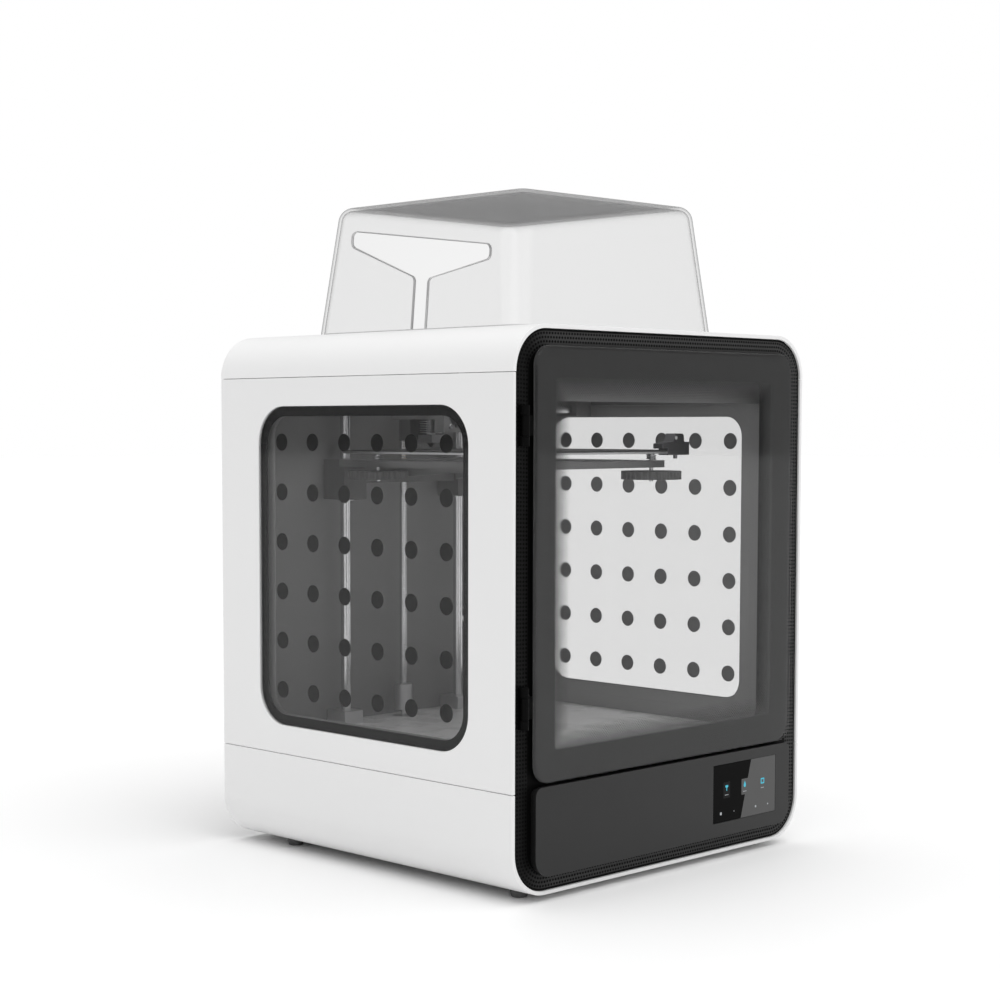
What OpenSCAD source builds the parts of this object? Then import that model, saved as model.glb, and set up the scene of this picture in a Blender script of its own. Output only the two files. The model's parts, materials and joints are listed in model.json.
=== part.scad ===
// Enclosed filament printer: rounded white shell, clear side windows, swing door,
// removable clear hood, cantilever bed on a lead screw and a belt driven XY gantry.
// x runs from the centre to the right, y from the front to the back and z upwards.

/* [Shell] */
// Width of the white shell
shell_w = 402.5; // [380:0.5:430]
// Depth of the white shell
shell_d = 389; // [375:1:410]
// Height of the white shell, without feet
shell_h = 484; // [480:1:500]
// Thickness of the white shell
skin = 3.6; // [2.4:0.1:4.5]
// Radius of the shell's four long edges
corner_r = 40; // [30:1:46]
// Height of the lower shell seam
seam_low = 90.4; // [80:0.2:94]
// Height of the upper shell seam
seam_high = 443.7; // [436:0.1:446]
// Height of the rubber feet
foot_h = 6; // [4:0.5:12]
// Radius of a rubber foot
foot_r = 8; // [6:0.5:12]

/* [Side windows] */
// Depth (along y) of a side window opening
window_d = 280; // [240:1:290]
// Height of a side window opening
window_h = 299.2; // [260:0.2:305]
// Corner radius of a side window
window_r = 35; // [20:1:45]
// Width of the dark printed border
print_border = 9; // [5:0.5:14]
// Diameter of a printed dot
dot_d = 16; // [10:0.5:20]
// Dots in a row and in a column
dot_count = 6; // [4:1:6]
// Spacing of the dots along y
dot_pitch_y = 44; // [40:0.5:46]
// Spacing of the dots along z
dot_pitch_z = 46.5; // [42:0.5:48]

/* [Front] */
// Half width of the door and of the lower panel
door_hw = 178.9; // [170:0.1:180]
// Lower edge of the door
door_z0 = 97.2; // [96:0.2:100]
// Upper edge of the door
door_z1 = 466.3; // [460:0.1:470]
// Corner radius of the door
door_r = 17; // [10:1:22]
// How far the door stands in front of the shell
proud = 6; // [5:0.5:7]
// Thickness of the clear door sheet
door_sheet_t = 4; // [3:0.5:4]
// Width of the opaque printed border of the door
door_print_w = 28.9; // [20:0.1:36]
// Lower edge of the lower panel
panel_z0 = 17; // [12:0.5:22]
// Upper edge of the lower panel
panel_z1 = 94.6; // [90:0.2:95]
// Width of the touch screen
screen_w = 95; // [90:0.5:100]
// Height of the touch screen
screen_h = 54; // [50:0.5:56]
// Centre of the touch screen from the middle plane
screen_x = 109.25; // [90:0.25:115]

/* [Hood] */
// Width of the hood at its foot
hood_w0 = 273; // [262:1:276]
// Depth of the hood at its foot
hood_d0 = 273; // [268:1:280]
// Width of the hood at its top
hood_w1 = 241; // [230:1:250]
// Depth of the hood at its top
hood_d1 = 250; // [240:1:258]
// Distance of the hood's centre from the shell's front
hood_y = 191; // [190:0.5:193]
// Height of the hood
hood_h = 122.6; // [110:0.2:130]
// Wall of the hood
hood_t = 3; // [2:0.5:3.5]
// Radius of the hood's upright edges
hood_r = 16; // [12:1:20]
// Radius of the hood's top edge
hood_top_r = 12; // [8:1:14]
// Half width of the funnel slot's upper bar
slot_hw = 95; // [80:1:98]
// Half width of the funnel slot's stem
slot_stem_hw = 9; // [8:0.5:14]

/* [Bed] */
// Side of the square build plate
plate_w = 235; // [220:1:236]
// Distance of the plate's centre from the shell's front
plate_y = 190.7; // [188:0.1:194]
// Height of the print surface in its highest place
plate_z = 375.7; // [370:0.1:376]
// Half spacing of the levelling studs
stud_half = 93; // [88:1:95]
// Diameter of a levelling wheel
wheel_d = 58; // [50:1:60]
// Thickness of a levelling wheel
wheel_t = 8.2; // [6:0.1:8.4]

/* [Motion] */
// Half spacing of the smooth upright rods
rod_half = 78.75; // [72:0.25:84]
// Distance of the upright rods from the shell's front
rod_y = 348; // [345:0.5:349]
// Radius of the upright rods
rod_r = 5; // [4:0.5:5]
// Radius of the lead screw
screw_r = 4; // [4:0.5:4]
// Running clearance of shafts in their bores
run_gap = 0.05; // [0.02:0.01:0.1]
// Radius of the horizontal guide rods
guide_r = 4; // [3:0.5:4]
// Half spacing of the front-to-back guide rods
guide_half = 166; // [164:0.5:166]
// Resting place of the gantry from the shell's front
gantry_y = 280; // [276:1:284]
// Resting place of the print head from the middle plane
head_x = -26; // [-40:1:40]
// Effective radius of the belt pulleys
pulley_r = 6; // [5.5:0.25:6.5]

/* [Hidden] */
$fn = 64;
hw = shell_w / 2;
spool_reach = 76;
back_y = shell_d + spool_reach;
mid_y = (back_y - proud) / 2;
window_y0 = 53;
window_z0 = 117.8;
window_y1 = window_y0 + window_d;
window_z1 = window_z0 + window_h;
window_cy = (window_y0 + window_y1) / 2;
window_cz = (window_z0 + window_z1) / 2;
sheet_t = 3;
print_t = 0.4;
bezel_y = 2;
bezel_t = 14;
opening_hw = 165;
opening_z0 = 112;
opening_z1 = 452;
floor_z = 100;
wall_y = 366;
liner_x = 188;
hinge_x = -188.75;
hinge_y = -2;
hinge_r = 3.6;
hinge_pin_r = 1.5;
hinge_spans = [[145, 180.5], [382, 416]];
hinge_ear = 8;
rail_z0 = 420;
rail_z1 = 443;
guide_z = 430;
cross_z = 416;
cross_half = 20;
belt_z = 433;
pulley_x = 129;
drive_y = 342;
drive_z = 452;
belt_x = 174;
bracket_z0 = 359;
bracket_z1 = 365.8;
wheel_z0 = 347.4;
bed_z0 = plate_z - 3.3;
bracket_back = 332.8;
motor_w = 42;
spool_z = 300;
fan_x = 140;
fan_z = 200;
fan_w = 80;
head_fan_z = 414.5;
inlet_x = -136;
inlet_z = 56;
rocker_z = 88;
rocker_pin_r = 1.2;
extruder_x = 62;
extruder_z = 432;
extruder_y = shell_d + 38;

// ---- helpers -------------------------------------------------------------

// Moves the design so that the row's origin is the middle of the footprint
module placed() {
    translate([0, -mid_y, foot_h]) children();
}

// Extrudes an x-z outline from y = a to y = b
module along_y(a, b) {
    translate([0, b, 0]) rotate([90, 0, 0]) linear_extrude(b - a) children();
}

// Extrudes a y-z outline from x = a to x = b
module along_x(a, b) {
    translate([a, 0, 0]) rotate([90, 0, 90]) linear_extrude(b - a) children();
}

// Extrudes an x-y outline from z = a to z = b
module along_z(a, b) {
    translate([0, 0, a]) linear_extrude(b - a) children();
}

// Box between two opposite corners
module box(a, b) {
    translate(a) cube(b - a);
}

// Upright cylinder from z = a to z = b
module post(x, y, a, b, r) {
    translate([x, y, a]) cylinder(h = b - a, r = r);
}

// Cylinder along y from y = a to y = b
module post_y(x, z, a, b, r) {
    translate([x, a, z]) rotate([-90, 0, 0]) cylinder(h = b - a, r = r);
}

// Cylinder along x from x = a to x = b
module post_x(y, z, a, b, r) {
    translate([a, y, z]) rotate([0, 90, 0]) cylinder(h = b - a, r = r);
}

// Rectangle with round corners between two opposite corners
module rounded(u0, u1, v0, v1, r) {
    translate([u0 + r, v0]) square([u1 - u0 - 2 * r, v1 - v0]);
    translate([u0, v0 + r]) square([u1 - u0, v1 - v0 - 2 * r]);
    for (u = [u0 + r, u1 - r], v = [v0 + r, v1 - r]) translate([u, v]) circle(r);
}

// Shell outline in the x-z plane, pulled in by a distance
module shell_outline(inset) {
    rounded(-hw + inset, hw - inset, inset, shell_h - inset, corner_r - inset);
}

// Cross-section of the shell's skin between two heights
module skin_band(z0, z1) {
    intersection() {
        difference() {
            shell_outline(0);
            shell_outline(skin);
        }
        translate([-hw, z0]) square([shell_w, z1 - z0]);
    }
}

// Square stepper motor body with its axis along z and its face up
module motor_block(h) {
    translate([-motor_w / 2, -motor_w / 2, -h]) cube([motor_w, motor_w, h]);
    cylinder(h = 2, r = 11);
}

// ---- shell ---------------------------------------------------------------

module base_tub() {
    slot_pitch = 12;
    color("gainsboro") placed() difference() {
        along_y(0, shell_d) skin_band(0, seam_low);
        for (i = [-5:5]) {
            box([i * slot_pitch - 70, 120, -1], [i * slot_pitch - 66, 190, skin + 1]);
            box([i * slot_pitch + 90, 120, -1], [i * slot_pitch + 94, 190, skin + 1]);
        }
    }
}

module side_panel(side) {
    seam = 0.4;
    a = side < 0 ? -hw : hw - skin;
    difference() {
        box([a, 0, seam_low + seam], [a + skin, shell_d, seam_high - seam]);
        along_x(a - 1, a + skin + 1) rounded(window_y0, window_y1, window_z0, window_z1, window_r);
    }
}

module side_panel_left() {
    color("gainsboro") placed() side_panel(-1);
}

module side_panel_right() {
    color("gainsboro") placed() side_panel(1);
}

module top_cover() {
    open_x = 124;
    open_y = 129.5;
    collar_x = hood_w0 / 2 - hood_t - 1;
    collar_y = hood_d0 / 2 - hood_t - 1;
    color("gainsboro") placed() difference() {
        union() {
            along_y(0, shell_d) skin_band(seam_high, shell_h);
            along_z(shell_h - 1, shell_h + 3)
                rounded(-collar_x, collar_x, hood_y - collar_y, hood_y + collar_y, 13);
        }
        along_z(shell_h - skin - 1, shell_h + 4)
            rounded(-open_x, open_x, hood_y - open_y, hood_y + open_y, 10);
    }
}

// Level slots that together fill the exhaust fan's circle
module exhaust_grille(a, b) {
    slot = 6;
    bar = 3.6;
    reach = 35;
    for (i = [-3:3]) {
        z = i * (slot + bar);
        half = sqrt(reach * reach - z * z);
        box([fan_x - half, a, fan_z + z - slot / 2], [fan_x + half, b, fan_z + z + slot / 2]);
    }
}

module rear_cover() {
    t = 3;
    gap = 0.2;
    color("dimgray") placed() difference() {
        along_y(shell_d - t, shell_d) shell_outline(skin + gap);
        exhaust_grille(shell_d - t - 1, shell_d + 1);
        box([inlet_x - 14, shell_d - t - 1, inlet_z - 12],
            [inlet_x + 14, shell_d + 1, rocker_z + 9]);
        for (i = [0:9]) box([-60 + i * 12, shell_d - t - 1, 30], [-55 + i * 12, shell_d + 1, 76]);
    }
}

module front_bezel() {
    lip = 3;
    color("black") placed() difference() {
        union() {
            along_y(bezel_y, bezel_y + bezel_t) shell_outline(skin + 0.15);
            along_y(bezel_y + bezel_t - 1, bezel_y + bezel_t + 8)
                rounded(-opening_hw - lip, opening_hw + lip, opening_z0 - lip, opening_z1 + lip, 17);
        }
        along_y(bezel_y - 1, bezel_y + bezel_t + 9)
            rounded(-opening_hw, opening_hw, opening_z0, opening_z1, 14);
        box([screen_x - 49, bezel_y - 1, 29], [screen_x + 49, bezel_y + bezel_t + 1, 86]);
    }
}

module panel_outline(inset) {
    rounded(-door_hw + inset, door_hw - inset, panel_z0 + inset, panel_z1 - inset, 17 - inset);
    rounded(-door_hw + inset, door_hw - inset, 50, panel_z1 - inset, 8 - inset);
}

module screen_hole(gap) {
    cz = 57.5;
    translate([screen_x - screen_w / 2 - gap, cz - screen_h / 2 - gap])
        square([screen_w + 2 * gap, screen_h + 2 * gap]);
}

module lower_panel() {
    face_t = 3.5;
    color("dimgray") placed() {
        along_y(-proud, -proud + face_t) difference() {
            panel_outline(0);
            screen_hole(0.2);
        }
        along_y(-proud + face_t, bezel_y) difference() {
            panel_outline(2);
            panel_outline(5);
        }
    }
}

module touch_screen() {
    color("black") placed() {
        along_y(-proud + 0.2, bezel_y + 6) screen_hole(0);
    }
}

module side_windows() {
    color([0.75, 0.78, 0.8, 0.4]) placed() {
        along_x(-hw + 0.8, -hw + 0.8 + sheet_t) window_outline(0.3);
        along_x(hw - 0.8 - sheet_t, hw - 0.8) window_outline(0.3);
    }
}

module window_outline(gap) {
    rounded(window_y0 + gap, window_y1 - gap, window_z0 + gap, window_z1 - gap, window_r - gap);
}

module window_pattern() {
    mid = (dot_count - 1) / 2;
    difference() {
        window_outline(0.3);
        window_outline(print_border);
    }
    for (i = [0:dot_count - 1], j = [0:dot_count - 1])
        translate([window_cy + (i - mid) * dot_pitch_y, window_cz + (j - mid) * dot_pitch_z])
            circle(dot_d / 2, $fn = 32);
}

module window_prints() {
    x0 = hw - 0.8 - sheet_t - print_t;
    color("black") placed() {
        along_x(-x0 - print_t, -x0) window_pattern();
        along_x(x0, x0 + print_t) window_pattern();
    }
}

module feet() {
    inset = 40;
    color("black") placed()
        for (x = [-hw + inset, hw - inset], y = [30, shell_d - 60])
            translate([x, y, -foot_h]) {
                cylinder(h = foot_h - 2, r1 = foot_r - 1, r2 = foot_r);
                translate([0, 0, foot_h - 2]) cylinder(h = 2, r = foot_r);
            }
}

module shell_screws() {
    color("silver") placed() {
        for (x = [-184, 184], z = [36, 150, 260, 370, 448])
            post_y(x, z, shell_d, shell_d + 1.8, 3);
        for (x = [-90, 0, 90], z = [14, 470]) post_y(x, z, shell_d, shell_d + 1.8, 3);
    }
}

// ---- chamber -------------------------------------------------------------

module chamber_floor() {
    color("gray") placed() difference() {
        box([-liner_x + 0.2, bezel_y + bezel_t + 8.2, floor_z], [liner_x - 0.2, wall_y, floor_z + 2]);
        post(0, rod_y, floor_z - 1, floor_z + 3, 12);
        for (x = [-rod_half, rod_half]) post(x, rod_y, floor_z - 1, floor_z + 3, rod_r + run_gap);
    }
}

module chamber_back_wall() {
    color("gray") placed() difference() {
        box([-liner_x + 0.2, wall_y, floor_z], [liner_x - 0.2, wall_y + 2, rail_z0 + 8]);
        post_y(fan_x, fan_z, wall_y - 1, wall_y + 3, 37);
    }
}

module side_liners() {
    t = 1.5;
    color("gray") placed()
        for (a = [-liner_x - t, liner_x]) difference() {
            box([a, bezel_y + bezel_t + 0.2, floor_z], [a + t, wall_y + 2, rail_z1]);
            along_x(a - 1, a + t + 1)
                rounded(window_y0 - 2, window_y1 + 2, window_z0 - 2, window_z1 + 2, window_r);
        }
}

// ---- door ----------------------------------------------------------------

module door_outline(inset) {
    rounded(-door_hw + inset, door_hw - inset, door_z0 + inset, door_z1 - inset, door_r - min(inset, 12));
}

module door_panel() {
    color([0.8, 0.82, 0.84, 0.4]) placed() along_y(-proud, -proud + door_sheet_t) door_outline(0);
}

module door_print() {
    y0 = -proud + door_sheet_t;
    color("dimgray") placed() along_y(y0, y0 + 0.3) difference() {
        door_outline(0);
        door_outline(door_print_w);
    }
}

module hinge_leaf_plate(z0, z1) {
    box([hinge_x, -1.6, z0 + hinge_ear + 0.4], [-158, 1.5, z1 - hinge_ear - 0.4]);
}

module door_frame() {
    y0 = -proud + door_sheet_t + 0.3;
    color("black") placed() difference() {
        along_y(y0, 1.6) difference() {
            door_outline(3);
            door_outline(26);
        }
        for (s = hinge_spans)
            box([-door_hw, y0 - 1, s[0] + hinge_ear], [-157.9, 3, s[1] - hinge_ear]);
    }
}

module hinge_leaves() {
    color("dimgray") placed()
        for (s = hinge_spans) difference() {
            union() {
                hinge_leaf_plate(s[0], s[1]);
                post(hinge_x, hinge_y, s[0] + hinge_ear + 0.4, s[1] - hinge_ear - 0.4, hinge_r);
            }
            post(hinge_x, hinge_y, s[0], s[1], hinge_pin_r + run_gap);
        }
}

module hinge_brackets() {
    color("black") placed()
        for (s = hinge_spans) {
            post(hinge_x, hinge_y, s[0], s[1], hinge_pin_r);
            for (z = [s[0], s[1] - hinge_ear]) {
                difference() {
                    union() {
                        post(hinge_x, hinge_y, z, z + hinge_ear, hinge_r);
                        box([hinge_x - 4, hinge_y, z], [hinge_x + hinge_r, bezel_y, z + hinge_ear]);
                    }
                    post(hinge_x, hinge_y, z - 1, z + hinge_ear + 1, hinge_pin_r);
                }
            }
        }
}

// ---- hood ----------------------------------------------------------------

// Thin rounded slab of the hood's outline at one height, pulled in by a distance
module hood_slab(z, inset) {
    t = z / hood_h;
    w = hood_w0 + (hood_w1 - hood_w0) * t - 2 * inset;
    d = hood_d0 + (hood_d1 - hood_d0) * t - 2 * inset;
    r = max(hood_r - inset, 4);
    translate([0, 0, z]) linear_extrude(0.01) hull()
        for (x = [-w / 2 + r, w / 2 - r], y = [-d / 2 + r, d / 2 - r])
            translate([x, y]) circle(r, $fn = 32);
}

// Solid frustum with a rounded top edge; inset gives the hollow inside
module hood_solid(inset) {
    top = hood_h - inset;
    r = hood_top_r - inset;
    hull() {
        hood_slab(-inset, inset);
        for (a = [0:22.5:90]) hood_slab(top - r + r * sin(a) - 0.01, inset + r * (1 - cos(a)));
    }
}

// Funnel shaped slot through the hood's back wall
module hood_slot() {
    bar_z = shell_h + 95;
    bar_r = 7;
    knee_z = shell_h + 63;
    for (x = [-1, 1]) translate([x * (slot_hw - bar_r), bar_z]) circle(bar_r);
    translate([-slot_hw + bar_r, bar_z - bar_r]) square([2 * (slot_hw - bar_r), 2 * bar_r]);
    polygon([
        [-slot_hw + bar_r - 2.5, bar_z - 6.5], [-slot_stem_hw, knee_z],
        [-slot_stem_hw, shell_h - 2], [slot_stem_hw, shell_h - 2], [slot_stem_hw, knee_z],
        [slot_hw - bar_r + 2.5, bar_z - 6.5], [0, bar_z]
    ]);
}

module hood() {
    color([0.8, 0.82, 0.84, 0.35]) placed() difference() {
        translate([0, hood_y, shell_h]) hood_solid(0);
        translate([0, hood_y, shell_h]) hood_solid(hood_t);
        along_y(hood_y + 100, hood_y + 150) hood_slot();
    }
}

// ---- upright drive and bed -----------------------------------------------

module z_rods() {
    color("silver") placed()
        for (x = [-rod_half, rod_half]) post(x, rod_y, floor_z - 6, rail_z1, rod_r);
}

module rod_clamps() {
    half = 12;
    color("silver") placed()
        for (x = [-rod_half, rod_half], z = [floor_z + 2, rail_z0 + 10]) difference() {
            box([x - half, rod_y - half, z], [x + half, wall_y - 3, z + 13]);
            post(x, rod_y, z - 1, z + 14, rod_r + run_gap);
        }
}

module z_motor() {
    color("black") placed() difference() {
        translate([0, rod_y, floor_z - 0.4]) motor_block(40);
        post(0, rod_y, floor_z - 34, floor_z + 3, 2.5 + run_gap);
    }
}

module lead_screw() {
    color("silver") placed() {
        post(0, rod_y, floor_z - 32, floor_z + 20, 2.5);
        post(0, rod_y, floor_z + 22, rail_z0 + 12, screw_r);
    }
}

module screw_coupler() {
    color("lightgray") placed() difference() {
        post(0, rod_y, floor_z + 8, floor_z + 34.6, 9);
        post(0, rod_y, floor_z + 7, floor_z + 21, 2.5);
        post(0, rod_y, floor_z + 21, floor_z + 35, screw_r);
    }
}

module stud_places() {
    for (x = [-stud_half, stud_half], y = [plate_y - stud_half, plate_y + stud_half])
        translate([x, y]) children();
}

module bed_bracket() {
    arm = 38;
    front = 87;
    outer = 100;
    color("dimgray") placed() {
        difference() {
            box([-outer, front, bracket_z0], [outer, bracket_back, bracket_z1]);
            box([-outer + arm, front + arm, bracket_z0 - 1],
                [outer - arm, bracket_back - 30, bracket_z1 + 1]);
            stud_places() translate([0, 0, bracket_z0 - 1]) cylinder(h = 9, r = 2.6);
        }
        for (x = [-outer + 36, outer - 40]) along_x(x, x + 4)
            polygon([[157, bracket_z0], [bracket_back, bracket_z0], [bracket_back, 344],
                     [315, 347], [200, 355]]);
    }
}

module bed_carriage() {
    half = 15;
    color("dimgray") placed() difference() {
        union() {
            for (x = [-rod_half, rod_half])
                box([x - half, rod_y - half, 326], [x + half, rod_y + half, 366]);
            box([-rod_half, rod_y - 9, 342], [rod_half, rod_y + 9, 360]);
        }
        for (x = [-rod_half, rod_half]) post(x, rod_y, 325, 367, rod_r + run_gap);
        post(0, rod_y, 341, 361, 5.2);
    }
}

module lead_nut() {
    color("gold") placed() difference() {
        union() {
            post(0, rod_y, 345, 360, 5.1);
            post(0, rod_y, 360, 363.5, 11);
        }
        post(0, rod_y, 344, 365, screw_r + run_gap);
    }
}

module heated_bed() {
    h = plate_w / 2;
    color("silver") placed()
        box([-h, plate_y - h, bed_z0], [h, plate_y + h, plate_z - 1.2]);
}

module print_sheet() {
    h = plate_w / 2;
    color("black") placed() box([-h, plate_y - h, plate_z - 1.2], [h, plate_y + h, plate_z]);
}

module bed_studs() {
    turns = 3;
    wire = 0.8;
    pitch = (bed_z0 - bracket_z1 - 2 * wire) / (turns - 1);
    color("silver") placed() stud_places() {
        translate([0, 0, wheel_z0 - 2]) cylinder(h = bed_z0 - wheel_z0 + 2, r = 2);
        for (i = [0:turns - 1]) translate([0, 0, bracket_z1 + wire + i * pitch])
            rotate_extrude() translate([4.2, 0]) circle(wire, $fn = 24);
    }
}

// Spring clip on a front corner of the plate, gripping its side edge
module clip(side) {
    h = plate_w / 2;
    far_end = h + 1.5;
    low = bed_z0 - 1.4;
    difference() {
        union() {
            along_y(72, 84) translate([side * far_end, low]) mirror([side > 0 ? 1 : 0, 0])
                polygon([[0, 0], [32, 0], [32, 6.2], [40, 6.2], [40, 11], [24, 12.8],
                         [21.5, 20.5], [10.4, 20.5], [8.4, 19], [7.4, 12.5], [0, 12.5]]);
            post(side * (far_end - 14), 78, low - 3.5, low, 2);
        }
        box([-h, plate_y - h, bed_z0], [h, plate_y + h, plate_z]);
        post_y(side * (far_end - 20), low + 15.5, 60, 90, 1.9);
    }
}

module bed_clips() {
    color("dimgray") placed() {
        clip(-1);
        clip(1);
    }
}

module levelling_wheel(x, y) {
    scallops = 30;
    translate([x, y, wheel_z0]) difference() {
        cylinder(h = wheel_t, r = wheel_d / 2);
        for (i = [0:scallops - 1]) rotate(i * 360 / scallops)
            translate([wheel_d / 2 + 1, 0, -1]) cylinder(h = wheel_t + 2, r = 2.2, $fn = 16);
        translate([0, 0, -1]) cylinder(h = wheel_t + 2, r = 2 + run_gap);
        translate([0, 0, -1]) difference() {
            cylinder(h = 4, r = wheel_d / 2 - 7);
            translate([0, 0, -1]) cylinder(h = 6, r = 8);
        }
    }
}

module levelling_wheel_fl() {
    color("dimgray") placed() levelling_wheel(-stud_half, plate_y - stud_half);
}

module levelling_wheel_fr() {
    color("dimgray") placed() levelling_wheel(stud_half, plate_y - stud_half);
}

module levelling_wheel_bl() {
    color("dimgray") placed() levelling_wheel(-stud_half, plate_y + stud_half);
}

module levelling_wheel_br() {
    color("dimgray") placed() levelling_wheel(stud_half, plate_y + stud_half);
}

// ---- gantry --------------------------------------------------------------

module gantry_frame() {
    front = bezel_y + bezel_t + 8.2;
    t = 2.5;
    color("dimgray") placed() {
        for (x = [-liner_x + 0.2, liner_x - 8.2])
            box([x, front, rail_z0], [x + 8, wall_y, rail_z1]);
        box([-liner_x + 8.2, front, rail_z0], [liner_x - 8.2, front + t, rail_z1]);
        box([-liner_x + 8.2, wall_y - t, rail_z0], [liner_x - 8.2, wall_y, rail_z1]);
        for (side = [-1, 1]) {
            for (y = [front + t, wall_y - t - 12]) difference() {
                box([side * guide_half - 10, y, guide_z - 10],
                    [side * guide_half + 10, y + 12, rail_z1]);
                post_y(side * guide_half, guide_z, y - 1, y + 13, guide_r + run_gap);
            }
            difference() {
                box([side * belt_x - 5, front + 4, rail_z1],
                    [side * belt_x + 5, front + 32, rail_z1 + 17]);
                box([side * belt_x - 3.6, front + 3, rail_z1 + 1],
                    [side * belt_x + 3.6, front + 33, rail_z1 + 18]);
            }
            post_x(front + 22, drive_z, side * belt_x - 3.6, side * belt_x + 3.6, pulley_r - 1.1);
            difference() {
                box([side * 160 - 4, drive_y - 8, rail_z1], [side * 160 + 4, wall_y - t, rail_z1 + 20]);
                post_x(drive_y, drive_z, side * 160 - 5, side * 160 + 5, 4 + run_gap);
            }
            box([side * 160 - 4, drive_y + 12, guide_z + 5], [side * 160 + 4, wall_y - t, rail_z1]);
        }
    }
}

module y_rods() {
    front = bezel_y + bezel_t + 8.2;
    color("silver") placed()
        for (x = [-guide_half, guide_half]) post_y(x, guide_z, front + 2.5, wall_y - 2.5, guide_r);
}

module y_shaft() {
    color("silver") placed() {
        post_x(drive_y, drive_z, -belt_x - 5, belt_x + 5, 4);
        for (side = [-1, 1]) difference() {
            post_x(drive_y, drive_z, side * belt_x - 4, side * belt_x + 4, pulley_r - 1.1);
            post_x(drive_y, drive_z, side * belt_x - 5, side * belt_x + 5, 4);
        }
    }
}

module y_motor() {
    x0 = 24;
    color("black") placed() difference() {
        box([x0, drive_y - motor_w / 2, drive_z - motor_w / 2],
            [x0 + 38, drive_y + motor_w / 2, drive_z + motor_w / 2]);
        post_x(drive_y, drive_z, x0 - 1, x0 + 39, 4 + run_gap);
    }
}

// Closed belt loop between two pulleys on a line, in its own plane
module belt_loop(length) {
    t = 1.2;
    r = pulley_r + 0.2;
    difference() {
        union() {
            circle(r);
            translate([length, 0]) circle(r);
            translate([0, -r]) square([length, 2 * r]);
        }
        circle(r - t);
        translate([length, 0]) circle(r - t);
        translate([0, -r + t]) square([length, 2 * (r - t)]);
    }
}

module y_belts() {
    y0 = bezel_y + bezel_t + 8.2 + 22;
    color("black") placed()
        for (side = [-1, 1]) along_x(side * belt_x - 3, side * belt_x + 3)
            translate([y0, drive_z]) belt_loop(drive_y - y0);
}

module x_rods() {
    color("silver") placed()
        for (y = [gantry_y - cross_half, gantry_y + cross_half])
            post_x(y, cross_z, -guide_half - 8, guide_half + 8, guide_r);
}

// Slider block on a front-to-back rod, with the plate that holds the motor or idler
module gantry_block(side) {
    cx = side * guide_half;
    inner = side * (side > 0 ? 120 : 108);
    outer = side * 160;
    difference() {
        union() {
            box([cx - 11, gantry_y - 30, 409], [cx + 11, gantry_y + 30, 441]);
            box([min(inner, outer), gantry_y - 21, 437.4], [max(inner, outer), gantry_y + 21, 440.4]);
            box([cx + side * 6 - 2, gantry_y - 8, 441], [cx + side * 6 + 2, gantry_y + 8, 444.6]);
        }
        post_y(cx, guide_z, gantry_y - 31, gantry_y + 31, guide_r + run_gap);
        for (y = [gantry_y - cross_half, gantry_y + cross_half])
            post_x(y, cross_z, cx - 30, cx + 30, guide_r + 0.02);
        post(side * pulley_x, gantry_y, 430, 442, side < 0 ? 9 : 1.9);
    }
}

module gantry_blocks() {
    color("dimgray") placed() {
        gantry_block(-1);
        gantry_block(1);
        post(pulley_x, gantry_y, 428, 440.4, 1.9);
        difference() {
            post(pulley_x, gantry_y, 429, 437.2, pulley_r - 1.1);
            post(pulley_x, gantry_y, 428, 438, 1.9);
        }
    }
}

module x_motor() {
    color("black") placed() difference() {
        box([-pulley_x - 21, gantry_y - 21, 440.4], [-pulley_x + 21, gantry_y + 21, 474.4]);
        post(-pulley_x, gantry_y, 439, 470, 2.5 + run_gap);
    }
}

module x_pulley() {
    color("silver") placed() {
        post(-pulley_x, gantry_y, 428, 468, 2.5);
        difference() {
            post(-pulley_x, gantry_y, 429, 437, pulley_r - 1.1);
            post(-pulley_x, gantry_y, 428, 438, 2.5);
        }
    }
}

module x_belt() {
    color("black") placed() translate([-pulley_x, gantry_y, belt_z - 3])
        linear_extrude(6) belt_loop(2 * pulley_x);
}

module head_body() {
    half = 25;
    run_y = gantry_y - pulley_r - 0.2 + 0.6;
    color("dimgray") placed() difference() {
        union() {
            box([head_x - half, gantry_y - 31, 405], [head_x + half, gantry_y + 31, 427]);
            box([head_x - half, gantry_y - 44, 392.5], [head_x + half, gantry_y - 31, 438]);
            box([head_x - 14, gantry_y + 15, 384], [head_x + 14, gantry_y + 31, 405]);
            box([head_x - 9, run_y - 4, 427], [head_x + 9, run_y + 4, 437]);
            post(head_x, gantry_y + 14, 427, 437, 4.5);
        }
        for (y = [gantry_y - cross_half, gantry_y + cross_half])
            post_x(y, cross_z, head_x - half - 1, head_x + half + 1, guide_r + run_gap);
        box([head_x - 10, run_y - 0.95, 429.5], [head_x + 10, run_y + 0.95, 439]);
        post_y(head_x, head_fan_z, gantry_y - 45, gantry_y - 35, 19.6);
        post(head_x, gantry_y, 404, 428, 4.2);
        post(head_x, gantry_y + 14, 430, 440, 2);
        box([head_x - 11, gantry_y + 18, 383], [head_x + 11, gantry_y + 28, 400]);
    }
}

module hotend() {
    fins = 6;
    color("silver") placed() translate([head_x, gantry_y, 0]) {
        difference() {
            union() {
                translate([0, 0, 390]) cylinder(h = 37, r = 4.2);
                for (i = [0:fins - 1]) translate([0, 0, 391.5 + i * 2.2]) cylinder(h = 1, r = 11);
                translate([-8, -10, 382]) cube([16, 20, 8]);
                translate([0, 0, 377.7]) cylinder(h = 4.3, r1 = 0.8, r2 = 4);
            }
            translate([0, 0, 377]) cylinder(h = 51, r = 0.4);
        }
    }
}

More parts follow.
